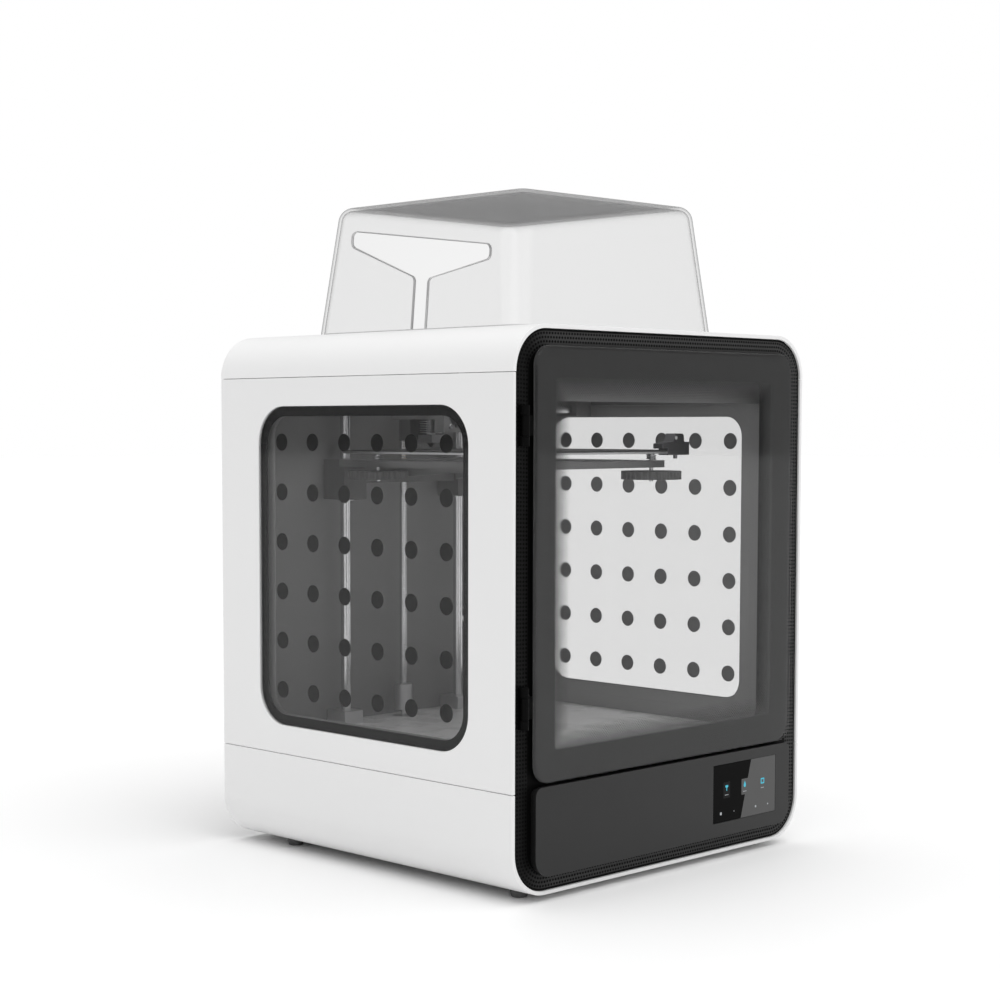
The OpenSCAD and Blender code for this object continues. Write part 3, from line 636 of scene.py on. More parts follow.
def halftone_tree() -> Grower:
    """Returns a tree of pegs on a slanted lattice that shrink away from a rectangle's edge."""
    grower = Grower("halftone_pegs")
    width, height, pitch = grower.numbers("Width", "Height", "Pitch")
    fade, radius, depth = grower.numbers("Fade", "Radius", "Depth")
    grid = grower.grid(width, height, (width / pitch).whole(), (height / pitch).whole())
    step = grower.add("ShaderNodeCombineXYZ", {0: pitch / 2, 1: pitch / 2})
    between = grower.add("GeometryNodeTransform", {0: grid, "Translation": step.outputs[0]})
    both = grower.add("GeometryNodeJoinGeometry")
    for source in (grid, between.outputs[0]):
        grower.tree.links.new(source, both.inputs[0])
    u, v, _ = grower.split(grower.add("GeometryNodeInputPosition").outputs[0])
    inside = (width / 2 - abs(u)).least(height / 2 - abs(v))
    share = (1 - inside / fade).most(0.0).least(1.0)
    inputs = {0: both.outputs[0], "Selection": share.under(THIN_SPOT)}
    kept = grower.add("GeometryNodeDeleteGeometry", inputs)
    size = share**0.5
    scale = grower.add("ShaderNodeCombineXYZ", {0: size, 1: size, 2: 1.0})
    return grower.scatter(kept.outputs[0], grower.rod(6, radius, depth), Scale=scale.outputs[0])


def stamp_tree() -> Grower:
    """Returns a tree that sets one shape on a grid in the u-v plane."""
    grower = Grower("shapes_on_a_grid")
    columns, rows = grower.numbers("Columns", "Rows", kind="Int")
    width, height = grower.numbers("Width", "Height")
    return grower.scatter(grower.grid(width, height, columns, rows), grower.peg())


def row_tree() -> Grower:
    """Returns a tree that sets one shape along a straight row."""
    grower = Grower("shapes_in_a_row")
    inputs = {"Count": grower.number("Count", "Int"), "Offset": grower.number("Step", "Vector")}
    line = grower.add("GeometryNodeMeshLine", inputs)
    return grower.scatter(line.outputs[0], grower.peg())


def wheel_tree() -> Grower:
    """Returns a tree that sets one shape round a circle, its u axis pointing outwards."""
    grower = Grower("shapes_round_a_circle")
    inputs = {"Vertices": grower.number("Count", "Int"), "Radius": grower.number("Radius")}
    ring = grower.add("GeometryNodeMeshCircle", inputs)
    outward = grower.add("GeometryNodeInputPosition").outputs[0]
    turn = grower.add("FunctionNodeAlignEulerToVector", {"Vector": outward}, axis="X", pivot_axis="Z")
    return grower.scatter(ring.outputs[0], grower.peg(), Rotation=turn.outputs[0])


def helix_tree() -> Grower:
    """Returns a tree of one round thread wound along the w axis."""
    grower = Grower("wound_thread")
    radius, height, turns, wire = grower.numbers("Radius", "Height", "Turns", "Wire radius")
    steps = grower.number("Steps per turn", "Int")
    inputs = {"Resolution": steps, "Rotations": turns, "Height": height}
    coil = grower.add("GeometryNodeCurveSpiral", {**inputs, "Start Radius": radius, "End Radius": radius})
    inputs = {"Resolution": 6, "Radius": wire}
    section = grower.add("GeometryNodeCurvePrimitiveCircle", inputs, mode="RADIUS")
    inputs = {"Curve": coil.outputs[0], "Profile Curve": section.outputs[0], "Fill Caps": True}
    return grower.close(grower.add("GeometryNodeCurveToMesh", inputs).outputs[0])


def wound(radius: float, height: float, turns: float, wire: float, steps: int) -> bpy.types.Mesh:
    """Winds a round steel wire along the w axis.

    Args:
        radius: Radius of the winding.
        height: Its length.
        turns: How often it goes round.
        wire: The wire's radius.
        steps: Points in each turn.

    Returns:
        The wire's mesh.
    """
    names = ("Radius", "Height", "Turns", "Wire radius", "Steps per turn")
    return helix_tree().run(dict(zip(names, (radius, height, turns, wire, steps))), Palette.STEEL)


# ---------------------------------------------------------------- mesh making


def rounded(u0: float, u1: float, v0: float, v1: float, radius: float, steps: int = 12) -> list[Point2]:
    """Returns a rectangle with round corners as a loop of points, anticlockwise."""
    loop = []
    corners = ((u1, v0, -90), (u1, v1, 0), (u0, v1, 90), (u0, v0, 180))
    for u, v, start in corners:
        cu = u - math.copysign(radius, u - (u0 + u1) / 2)
        cv = v - math.copysign(radius, v - (v0 + v1) / 2)
        for step in range(steps + 1):
            angle = math.radians(start + 90 * step / steps)
            loop.append((cu + radius * math.cos(angle), cv + radius * math.sin(angle)))
    return loop


def prism(loops: Sequence[Sequence[Point2]], w0: float, w1: float) -> bmesh.types.BMesh:
    """Extrudes an outline with holes.

    Args:
        loops: The outline first, then its holes.
        w0: Start of the extrusion.
        w1: End of the extrusion.

    Returns:
        A closed mesh in (u, v, w).
    """
    bm = bmesh.new()
    edges = []
    for loop in loops:
        verts = [bm.verts.new((u, v, w0)) for u, v in loop]
        edges += [bm.edges.new(pair) for pair in zip(verts, verts[1:] + verts[:1])]
    bmesh.ops.triangle_fill(bm, edges=edges, use_beauty=True)
    bmesh.ops.dissolve_limit(bm, angle_limit=NEARLY_FLAT, verts=bm.verts[:], edges=bm.edges[:])
    grown = bmesh.ops.extrude_face_region(bm, geom=bm.faces[:], use_keep_orig=True)
    moved = [item for item in grown["geom"] if isinstance(item, bmesh.types.BMVert)]
    bmesh.ops.translate(bm, verts=moved, vec=(0, 0, w1 - w0))
    bmesh.ops.recalc_face_normals(bm, faces=bm.faces[:])
    return bm


def loft(rings: Sequence[Sequence[Sequence[float]]], closed: bool = False) -> bmesh.types.BMesh:
    """Joins rings of as many points by quads.

    Args:
        rings: The rings' points in order.
        closed: Whether the last ring meets the first, or else both ends are capped.

    Returns:
        A closed mesh.
    """
    bm = bmesh.new()
    made = [[bm.verts.new(point) for point in ring] for ring in rings]
    pairs = list(zip(made, made[1:]))
    if closed:
        pairs.append((made[-1], made[0]))
    else:
        bm.faces.new(made[0])
        bm.faces.new(made[-1])
    for first, second in pairs:
        for i in range(len(first)):
            k = (i + 1) % len(first)
            bm.faces.new((first[i], first[k], second[k], second[i]))
    bmesh.ops.recalc_face_normals(bm, faces=bm.faces[:])
    return bm


def band(outer: Sequence[Point2], inner: Sequence[Point2], w0: float, w1: float) -> bmesh.types.BMesh:
    """Makes a flat ring between two loops of as many points.

    Args:
        outer: The outer loop.
        inner: The inner loop.
        w0: One face of the ring.
        w1: The other face.

    Returns:
        A closed mesh in (u, v, w).
    """
    edges = ((outer, w0), (outer, w1), (inner, w1), (inner, w0))
    return loft([[(u, v, w) for u, v in loop] for loop, w in edges], True)


def filleted(corners: Sequence[Point3], steps: int = 8) -> list[Point2]:
    """Rounds the corners of a polygon.

    Args:
        corners: (u, v, radius) of each corner in order.
        steps: Points in each arc.

    Returns:
        The outline's points.
    """
    outline = []
    for index, (u, v, radius) in enumerate(corners):
        here = Vector((u, v))
        if not radius:
            outline.append((u, v))
            continue
        before = (Vector(corners[index - 1][:2]) - here).normalized()
        after = (Vector(corners[(index + 1) % len(corners)][:2]) - here).normalized()
        half = before.angle(after) / 2
        centre = here + (before + after).normalized() * (radius / math.sin(half))
        first = here + before * (radius / math.tan(half)) - centre
        last = here + after * (radius / math.tan(half)) - centre
        start = math.atan2(first.y, first.x)
        sweep = math.atan2(last.y, last.x) - start
        sweep = (sweep + math.pi) % (2 * math.pi) - math.pi
        for step in range(steps + 1):
            angle = start + sweep * step / steps
            outline.append((centre.x + radius * math.cos(angle), centre.y + radius * math.sin(angle)))
    return outline


def circle(radius: float, w: float, steps: int = 32) -> list[Point3]:
    """Returns a circle's points round the w axis."""
    angles = [2 * math.pi * step / steps for step in range(steps)]
    return [(radius * math.cos(angle), radius * math.sin(angle), w) for angle in angles]


def lathe(profile: Sequence[Point2], steps: int = 32, hollow: bool = False) -> bmesh.types.BMesh:
    """Turns a profile of (radius, w) points round the w axis.

    Args:
        profile: The points, from one end to the other, or all round a hollow section.
        steps: Facets round the axis.
        hollow: Whether the profile closes on itself.

    Returns:
        A closed mesh.
    """
    return loft([circle(radius, w, steps) for radius, w in profile], hollow)


def socket_screw(radius: float, height: float, steps: int = 24) -> bmesh.types.BMesh:
    """Makes a round screw head with a hexagon socket, standing on the u-v plane."""
    sixth = math.pi / 3

    def hexagon(size: float, w: float) -> list[Point3]:
        """Returns the hexagon's points, as many as the head's."""
        points = []
        for step in range(steps):
            angle = 2 * math.pi * step / steps
            reach = size * math.cos(sixth / 2) / math.cos(angle % sixth - sixth / 2)
            points.append((reach * math.cos(angle), reach * math.sin(angle), w))
        return points

    rim = radius * 0.12
    rings = [circle(radius, -0.1 * MM, steps), circle(radius, height - rim, steps)]
    rings += [circle(radius - rim, height, steps), hexagon(radius * 0.55, height)]
    return loft(rings + [hexagon(radius * 0.55, height * 0.35)])


def block(low: Sequence[float], high: Sequence[float]) -> bmesh.types.BMesh:
    """Makes a box between two opposite corners."""
    bm = bmesh.new()
    bmesh.ops.create_cube(bm, size=1)
    for vert in bm.verts:
        vert.co = [a + (b - a) * (c + 0.5) for a, b, c in zip(low, high, vert.co)]
    return bm


def merged(parts: Iterable[bmesh.types.BMesh]) -> bmesh.types.BMesh:
    """Joins meshes into one and frees them."""
    whole = bmesh.new()
    for part in parts:
        mesh = frozen(part)
        whole.from_mesh(mesh)
        bpy.data.meshes.remove(mesh)
    return whole


def cut(body: bmesh.types.BMesh, tool: bmesh.types.BMesh) -> bmesh.types.BMesh:
    """Cuts one closed mesh out of another."""
    host, blade = linked("body", frozen(body)), linked("tool", frozen(tool))
    modifier = host.modifiers.new("cut", "BOOLEAN")
    modifier.operation = "DIFFERENCE"
    modifier.solver = "EXACT"
    modifier.object = blade
    result = bmesh.new()
    result.from_mesh(bake(host))
    for helper in (host, blade):
        bpy.data.objects.remove(helper)
    return result


def turned(bm: bmesh.types.BMesh, matrix: Matrix) -> bmesh.types.BMesh:
    """Moves a mesh by a matrix and returns it."""
    bm.transform(matrix)
    return bm


@dataclass(frozen=True)
class Spot:
    """Where a pattern lies: its middle, the axis it faces and its sense along it."""

    middle: Sequence[float]
    axis: Axis = Axis.Z
    flip: bool = False

    def matrix(self) -> Matrix:
        """Returns the placement of (u, v, w) in the row frame."""
        turn = Matrix.Rotation(math.pi, 4, "X") if self.flip else Matrix.Identity(4)
        return Matrix.Translation(self.middle) @ self.axis.matrix() @ turn


@dataclass
class Smith:
    """Makes pieces, gives them a finish and sets them on their bodies."""

    made: int = 0

    def pattern(
        self,
        name: str,
        spots: Sequence[Spot],
        layout: tuple[int, int, float, float],
        peg: bmesh.types.BMesh,
        body: str,
        slot: str,
        finish: Palette,
    ) -> bpy.types.Object:
        """Sets a shape on a grid at each of some spots, as one piece.

        Args:
            name: The piece's name.
            spots: Where the grids lie.
            layout: Columns, rows, width and height of the grid.
            peg: The shape, which is freed.
            body: The CAD body it rides on.
            slot: The record's slot of its finish.
            finish: Its finish.

        Returns:
            The piece.
        """
        values = dict(zip(("Columns", "Rows", "Width", "Height"), layout))
        mesh = stamp_tree().run(values, finish, peg)
        whole = joined([mesh] * len(spots), [spot.matrix() for spot in spots])
        return self.settle(name, whole, body, slot)

    def screws(
        self,
        name: str,
        spot: Spot,
        layout: tuple[int, int, float, float],
        head: Point2,
        body: str = "frame",
    ) -> bpy.types.Object:
        """Sets socket screws on a grid, as one piece.

        Args:
            name: The piece's name.
            spot: Where the grid lies.
            layout: Columns, rows, width and height of the grid.
            head: Radius and height of a screw's head.
            body: The CAD body they ride on.

        Returns:
            The piece.
        """
        screw = socket_screw(*head)
        return self.pattern(name, [spot], layout, screw, body, "steel", Palette.STEEL_ACROSS)

    def settle(
        self,
        name: str,
        mesh: bpy.types.Mesh,
        body: str,
        slot: str,
        finish: Palette | None = None,
        replaces: Sequence[str] = (),
    ) -> bpy.types.Object:
        """Makes a mesh a finished piece of the printer.

        Args:
            name: The piece's name.
            mesh: Its mesh, in the row frame.
            body: The CAD body it rides on.
            slot: The record's slot of its finish; not used.
            finish: The finish, or None where the mesh has its material.
            replaces: The CAD nodes it stands for.

        Returns:
            The piece.
        """
        if finish:
            mesh.materials.clear()
            mesh.materials.append(finish.material())
        mesh.name = name
        piece = linked(name, mesh)
        if replaces:
            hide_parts(*replaces)
        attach(piece, body)
        self.made += 1
        LOG.info("%s: %d faces on %s", name, len(mesh.polygons), body)
        return piece

    def soften(
        self, bm: bmesh.types.BMesh, bevel: float, segments: int = 2, angle: float = 35.0
    ) -> bpy.types.Mesh:
        """Rounds a mesh's hard edges.

        Args:
            bm: The mesh, which is freed.
            bevel: Width of the rounding in metres.
            segments: Facets across the rounding.
            angle: Edges sharper than this many degrees are rounded.

        Returns:
            The finished mesh.
        """
        host = linked("soft", frozen(bm))
        for polygon in host.data.polygons:
            polygon.use_smooth = True
        if bevel:
            modifier = host.modifiers.new("bevel", "BEVEL")
            modifier.width = bevel
            modifier.segments = segments
            modifier.limit_method = "ANGLE"
            modifier.angle_limit = math.radians(angle)
            modifier.use_clamp_overlap = True
            modifier.miter_outer = "MITER_ARC"
        weighted = host.modifiers.new("normals", "WEIGHTED_NORMAL")
        weighted.keep_sharp = True
        result = bake(host)
        bpy.data.objects.remove(host)
        return result

    def refine(
        self, node: str, body: str, slot: str, finish: Palette, bevel: float = 0.4 * MM, segments: int = 2
    ) -> bpy.types.Object:
        """Replaces a CAD node by a copy of itself with rounded edges."""
        bm = bmesh.new()
        bm.from_mesh(frame["nodes"][node].data)
        bmesh.ops.remove_doubles(bm, verts=bm.verts[:], dist=SAME_POINT)
        if bevel:
            bmesh.ops.dissolve_limit(bm, angle_limit=FLAT_FACET, verts=bm.verts[:], edges=bm.edges[:])
        mesh = self.soften(bm, bevel, segments)
        return self.settle(f"{node}_body", mesh, body, slot, finish, [node])

    def build(
        self,
        name: str,
        bm: bmesh.types.BMesh,
        body: str,
        slot: str,
        finish: Palette,
        bevel: float = 0.4 * MM,
        replaces: Sequence[str] = (),
        segments: int = 2,
    ) -> bpy.types.Object:
        """Softens a built mesh and settles it."""
        return self.settle(name, self.soften(bm, bevel, segments), body, slot, finish, replaces)


def joined(meshes: Sequence[bpy.types.Mesh], matrices: Sequence[Matrix]) -> bpy.types.Mesh:
    """Joins meshes, each moved by its matrix, and keeps the first one's materials."""
    bm = bmesh.new()
    for mesh, matrix in zip(meshes, matrices):
        part = mesh.copy()
        part.transform(matrix)
        bm.from_mesh(part)
    result = frozen(bm)
    for material in meshes[0].materials:
        result.materials.append(material)
    return result


def solid(*parts: bmesh.types.BMesh) -> bpy.types.Mesh:
    """Returns closed shapes as one mesh and frees them."""
    return frozen(merged(parts))


# ---------------------------------------------------------------- sub-assemblies


@dataclass
class Shell:
    """White outer shell, rear cover, feet and their screws."""

    smith: Smith
    edge: float = 0.9 * MM
    screw_inset: float = 4.25 * MM
    screw_head: Point2 = (2.6 * MM, 1.5 * MM)

    def build(self) -> None:
        """Makes every piece of the shell."""
        for node in ("base_tub", "side_panel_left", "side_panel_right"):
            self.smith.refine(node, "frame", "white_shell", Palette.SHELL, self.edge, 3)
        self.smith.refine("top_cover", "frame", "white_cover", Palette.COVER, self.edge, 3)
        self.smith.refine("rear_cover", "frame", "grey_metal", Palette.REAR_METAL, 0)
        self.smith.refine("feet", "frame", "rubber", Palette.FOOT, 0.8 * MM, 3)
        self.smith.refine("shell_screws", "frame", "steel", Palette.STEEL_ACROSS, 0.6 * MM, 3)
        self.dress()

    def dress(self) -> None:
        """Adds the fan's screws round the grille in the rear cover."""
        low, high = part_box("exhaust_fan_frame")
        middle = centre("exhaust_fan_frame")
        middle.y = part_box("rear_cover")[1][1]
        pitch = high[0] - low[0] - 2 * self.screw_inset
        spot = Spot(middle, Axis.Y, True)
        self.smith.screws("fan_screws", spot, (2, 2, pitch, pitch), self.screw_head)


@dataclass
class SideWindows:
    """Clear side sheets with a dark border and a grid of dots printed inside."""

    smith: Smith
    dots: int = 6
    dot_radius: float = 8 * MM
    pitch_y: float = 44 * MM
    pitch_z: float = 46.5 * MM
    border: float = 9 * MM
    corner: float = 34.7 * MM
    ink: float = 0.4 * MM
    back_ink: float = 0.1 * MM
    sides: int = 48

    def build(self) -> None:
        """Makes the sheets and their print."""
        self.smith.refine("side_windows", "frame", "clear_sheet", Palette.CLEAR_WINDOW, 0.5 * MM)
        low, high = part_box("side_windows")
        loops = [
            rounded(low[1] + inset, high[1] - inset, low[2] + inset, high[2] - inset, self.corner - inset)
            for inset in (0, self.border)
        ]
        layer = {
            "Columns": self.dots,
            "Rows": self.dots,
            "Width": self.pitch_y * (self.dots - 1),
            "Height": self.pitch_z * (self.dots - 1),
            "Radius": self.dot_radius,
            "Depth": self.ink / 2,
            "Sides": self.sides,
        }
        dots, backs = (grid_tree().run(layer, ink) for ink in (Palette.DOT_INK, Palette.DOT_BACK))
        ring = frozen(band(*loops, -self.ink / 2, self.ink / 2))
        middle = centre("side_windows")
        middle.x = 0
        turn = Axis.X.matrix()
        print_low, print_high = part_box("window_prints")
        meshes, places, inside, rims = [], [], [], []
        for edge, sense in ((print_low[0], 1), (print_high[0], -1)):
            outer, half, inner = (
                Matrix.Translation((edge + sense * self.ink * share, 0, 0)) for share in (0.25, 0.5, 0.75)
            )
            meshes += [dots, ring]
            places += [outer @ Matrix.Translation(middle) @ turn, half @ turn]
            inside.append(inner @ Matrix.Translation(middle) @ turn)
            start = edge + sense * self.ink
            ends = sorted((start, start + sense * self.back_ink))
            rims.append(turned(band(*loops, *ends), turn))
        mesh = joined(meshes, places)
        self.smith.settle("window_dots", mesh, "frame", "print_ink", None, ["window_prints"])
        self.smith.settle("window_dot_backs", joined([backs] * 2, inside), "frame", "print_ink")
        self.smith.build("window_rim_backs", merged(rims), "frame", "print_ink", Palette.LINER, 0)


@dataclass
class Front:
    """Black bezel with its perforated margin, lower panel and touch screen."""

    smith: Smith
    rows: int = 4
    row_pitch: float = 3.5 * MM
    first_row: float = 7.5 * MM
    pit_radius: float = 1.1 * MM
    pit_depth: float = 0.3 * MM
    pit_sides: int = 8
    outer_corner: float = 40 * MM
    lid_lip: float = 3 * MM
    gauze: Point2 = (0.05 * MM, 0.1 * MM)

    def build(self) -> None:
        """Makes every piece of the front."""
        self.smith.refine("front_bezel", "frame", "black_plastic", Palette.BEZEL, 0.5 * MM)
        self.perforations()
        self.smith.refine("lower_panel", "frame", "grey_front", Palette.FRONT, 0.9 * MM, 3)
        self.smith.refine("touch_screen", "frame", "screen", Palette.SCREEN, 0.3 * MM)
        Display(self.smith).build()

    def perforations(self) -> None:
        """Lays a gauze ring, its left strip darkened as painted shade, with rows of dark discs on the
        bezel's margin as painted shade of round pits.
        """
        low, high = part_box("base_tub")
        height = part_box("top_cover")[1][2] - self.lid_lip - low[2]
        width = high[0] - low[0]
        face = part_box("front_bezel")[0][1]
        middle = Vector((0, face, low[2] + height / 2))
        tree = border_tree()
        # Each pit is a dark disc, painted shade in place of a hole.
        pits = []
        for row in range(self.rows):
            inset = self.first_row + row * self.row_pitch
            corner = self.outer_corner - inset
            w, h = width - 2 * inset, height - 2 * inset
            length = 2 * (w + h) - (8 - 2 * math.pi) * corner
            values = {
                "Width": w,
                "Height": h,
                "Corner": corner,
                "Count": round(length / self.row_pitch),
                "Radius": self.pit_radius,
                "Depth": self.pit_depth,
                "Sides": self.pit_sides,
            }
            pits.append(tree.run(values, Palette.HOLE_SHADE))
        places = [Matrix.Translation(middle) @ Axis.Y.matrix()] * len(pits)
        self.smith.settle("bezel_pits", joined(pits, places), "frame", "black_plastic")
        loops = []
        for row in (-0.5, self.rows - 0.5):
            inset = self.first_row + row * self.row_pitch
            w, h = width / 2 - inset, height / 2 - inset
            loops.append(rounded(-w, w, middle.z - h, middle.z + h, self.outer_corner - inset))
        under, over = self.gauze
        # The gauze band's finish paints shade on its left strip.
        gauze = turned(band(*loops, -face - under, -face + over), Axis.Y.matrix())
        self.smith.build("bezel_gauze", gauze, "frame", "black_plastic", Palette.GAUZE, 0)


@dataclass
class Display:
    """Painted glare and generic icons on the touch screen's face, each layer a little over the last."""

    smith: Smith
    layer: float = 0.03 * MM
    sunk: float = 0.02 * MM
    glare: Sequence[Point2] = ((0.44, 0.0), (1.0, 0.0), (1.0, 1.0), (0.6, 1.0))
    row: float = 0.58
    columns: Sequence[float] = (0.21, 0.5, 0.79)
    sizes: Sequence[float] = (2.6 * MM, 3.2 * MM, 3.4 * MM)
    tile: Point2 = (5 * MM, 7.5 * MM)
    tile_corner: float = 0.6 * MM
    tile_drop: float = 2 * MM
    label: Point2 = (0.6 * MM, 0.4 * MM)
    label_step: float = 1.8 * MM
    label_drop: float = 6.5 * MM
    hole: float = 1.5 * MM
    mark_row: float = 0.15
    marks: Sequence[Point2] = ((0.12, 1.3 * MM), (0.33, 0.5 * MM), (0.68, 1.0 * MM), (0.88, 0.7 * MM))

    def icons(self) -> list[Sequence[Point3]]:
        """Returns a funnel, a drop and a tile as (u, v, radius) corners round the origin."""
        funnel = [(-0.2, -1, 0), (0.2, -1, 0), (0.2, 0, 0), (0.8, 0.4, 0), (0.8, 1, 0.2)]
        funnel += [(-0.8, 1, 0.2), (-0.8, 0.4, 0), (-0.2, 0, 0)]
        drop = [(-0.5, -0.8, 0.45), (0.5, -0.8, 0.45), (0.5, 0, 0.3), (0, 1.1, 0), (-0.5, 0, 0.3)]
        return [funnel, drop, [(u * 0.8, v * 0.8, 0.15) for u, v in SQUARE]]

    def patch(self, u: float, v: float, half: Point2, radius: float = 0) -> list[Point3]:
        """Returns a rectangle's corners round a point."""
        return [(u + a * half[0], v + b * half[1], radius) for a, b in SQUARE]

    def mark(self, name: str, corners: Sequence[Point3], finish: Palette, level: int) -> None:
        """Lays a thin mark on the screen.

        Args:
            name: The piece's name.
            corners: (u, v, radius) from the screen's lower left corner.
            finish: Its finish.
            level: How many layers it stands out.
        """
        low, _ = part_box("touch_screen")
        outline = [(low[0] + u, low[2] + v) for u, v in filleted(corners, 5)]
        plate = prism([outline], -low[1] - self.sunk, -low[1] + level * self.layer)
        self.smith.build(name, turned(plate, Axis.Y.matrix()), "frame", "screen", finish, 0)

    def build(self) -> None:
        """Draws every mark on the screen."""
        low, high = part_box("touch_screen")
        width, height = high[0] - low[0], high[2] - low[2]
        row = self.row * height
        # The glare is a painted reflection, a lighter patch across the screen's right part.
        self.mark("screen_glare", [(u * width, v * height, 0) for u, v in self.glare], Palette.PAINTED_GLARE, 1)
        for index, (share, size, shape) in enumerate(zip(self.columns, self.sizes, self.icons())):
            u = share * width
            back = self.patch(u, row - self.tile_drop, self.tile, self.tile_corner)
            # Tiles inside the glare take the painted glare's grey.
            self.mark(f"screen_tile_{index}", back, Palette.PAINTED_GLARE if index else Palette.TILE, 2)
            icon = [(u + a * size, row + b * size, radius * size) for a, b, radius in shape]
            self.mark(f"screen_icon_{index}", icon, Palette.CYAN, 3)
            for step in range(3):
                dot = self.patch(u + (step - 1) * self.label_step, row - self.label_drop, self.label)
                self.mark(f"screen_label_{index}_{step}", dot, Palette.PALE, 3)
        # The hole in the square icon shows the painted glare's grey.
        hole = self.patch(self.columns[-1] * width, row, (self.hole, self.hole))
        self.mark("screen_icon_centre", hole, Palette.PAINTED_GLARE, 4)
        for index, (share, size) in enumerate(self.marks):
            dot = self.patch(share * width, self.mark_row * height, (size, size), 0.4 * size)
            self.mark(f"screen_mark_{index}", dot, Palette.PALE, 3)


@dataclass
class Door:
    """Swing door: clear sheet, halftone printed border, frame and hinges."""

    smith: Smith
    solid: float = 27 * MM
    fade: float = 18 * MM
    dot_pitch: float = 2 * MM
    fullness: float = 0.55
    corner: float = 17 * MM
    inner_corner: float = 3 * MM
    dot_depth: float = 0.8

    def build(self) -> None:
        """Makes every piece of the door."""
        self.smith.refine("door_panel", "door", "clear_sheet", Palette.CLEAR_DOOR, 1.0 * MM, 3)
        self.smith.refine("door_frame", "door", "black_plastic", Palette.BLACK)
        self.smith.refine("hinge_leaves", "door", "black_plastic", Palette.BEZEL)
        self.smith.refine("hinge_brackets", "frame", "black_plastic", Palette.BEZEL)
        self.print_border()

    def print_border(self) -> None:
        """Prints the solid border and its fading lattice of dots."""
        low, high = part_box("door_print")
        x0, x1, y0, y1, z0, z1 = low[0], high[0], low[1], high[1], low[2], high[2]
        inner = self.solid
        ring = band(
            rounded(x0, x1, z0, z1, self.corner),
            rounded(x0 + inner, x1 - inner, z0 + inner, z1 - inner, self.inner_corner),
            -y1,
            -y0,
        )
        dots = halftone_tree().run(
            {
                "Width": x1 - x0 - 2 * inner,
                "Height": z1 - z0 - 2 * inner,
                "Pitch": self.dot_pitch * math.sqrt(2),
                "Fade": self.fade,
                "Radius": self.dot_pitch * self.fullness,
                "Depth": (y1 - y0) * self.dot_depth,
            },
            Palette.DOOR_INK,
        )
        mid = Matrix.Translation(centre("door_print"))
        mesh = joined([dots, frozen(ring)], [mid @ Axis.Y.matrix(), Axis.Y.matrix()])
        self.smith.settle("door_halftone", mesh, "door", "grey_front", None, ["door_print"])


@dataclass
class Hood:
    """Clear lift-off hood with a funnel shaped slot in its back."""

    smith: Smith
    wall: float = 3 * MM
    taper: Point2 = (16 * MM, 11.5 * MM)
    edge: float = 16 * MM
    brow: float = 12 * MM
    steps: int = 8
    slot_half: float = 95 * MM
    stem_half: float = 9 * MM
    bar_height: float = 95 * MM
    bar_half: float = 7 * MM
    knee_height: float = 63 * MM
    knee_corner: float = 6 * MM
    under: float = 2 * MM
    least_corner: float = 4 * MM
    blade: Point2 = (5 * MM, 40 * MM)
    rim: float = 0.9 * MM
    rim_inset: float = 0.1 * MM

    def loop(self, height: float, inset: float) -> list[Point3]:
        """Returns the hood's outline at a height, pulled in by a distance."""
        low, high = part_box("hood")
        share = height / (high[2] - low[2])
        in_x = inset + share * self.taper[0]
        in_y = inset + share * self.taper[1]
        corner = max(self.edge - inset, self.least_corner)
        outline = rounded(low[0] + in_x, high[0] - in_x, low[1] + in_y, high[1] - in_y, corner, self.steps)
        return [(x, y, low[2] + height) for x, y in outline]

    def skin(self, inset: float) -> list[list[Point3]]:
        """Returns the outer or inner skin's rings, from its foot up."""
        low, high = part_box("hood")
        height = high[2] - low[2] - inset
        brow = self.brow - inset
        rings = [self.loop(height * share, inset) for share in (0.0, 0.3, 0.6)]
        for step in range(self.steps + 1):
            angle = math.pi / 2 * step / self.steps
            level = height - brow + brow * math.sin(angle)
            rings.append(self.loop(level, inset + brow * (1 - math.cos(angle))))
        return rings

    def build(self) -> None:
        """Makes the hood."""
        low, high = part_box("hood")
        bm = loft(self.skin(0.0)[::-1] + self.skin(self.wall))
        behind, ahead = self.blade
        tool = turned(prism([self.slot(0.0)], -high[1] - behind, -high[1] + ahead), Axis.Y.matrix())
        self.smith.build(
            "hood_shell", cut(bm, tool), "hood_cover", "clear_sheet", Palette.CLEAR_HOOD, 0.5 * MM, ["hood"]
        )
        rim = band(self.slot(self.rim), self.slot(0.0), -high[1] + self.rim_inset, -high[1] + self.wall)
        rim = turned(rim, Axis.Y.matrix())
        slope = self.taper[1] / (high[2] - low[2])
        for vert in rim.verts:
            vert.co.z = max(vert.co.z, low[2])
            vert.co.y -= slope * (vert.co.z - low[2])
        self.smith.build("hood_slot_rim", rim, "hood_cover", "clear_sheet", Palette.HOOD_RIM, 0)

    def slot(self, grow: float) -> list[Point2]:
        """Returns the funnel shaped slot's outline, grown by a distance."""
        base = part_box("hood")[0][2]
        half, stem = self.slot_half + grow, self.stem_half + grow
        low_bar = base + self.bar_height - self.bar_half - grow
        high_bar = base + self.bar_height + self.bar_half + grow
        knee, foot = base + self.knee_height - grow / 2, base - self.under
        bend, radius = self.knee_corner, self.knee_corner + grow
        return filleted(
            [
                (-half, low_bar, radius),
                (-stem, knee, bend),
                (-stem, foot, 0),
                (stem, foot, 0),
                (stem, knee, bend),
                (half, low_bar, radius),
                (half, high_bar, radius),
                (-half, high_bar, radius),
            ]
        )


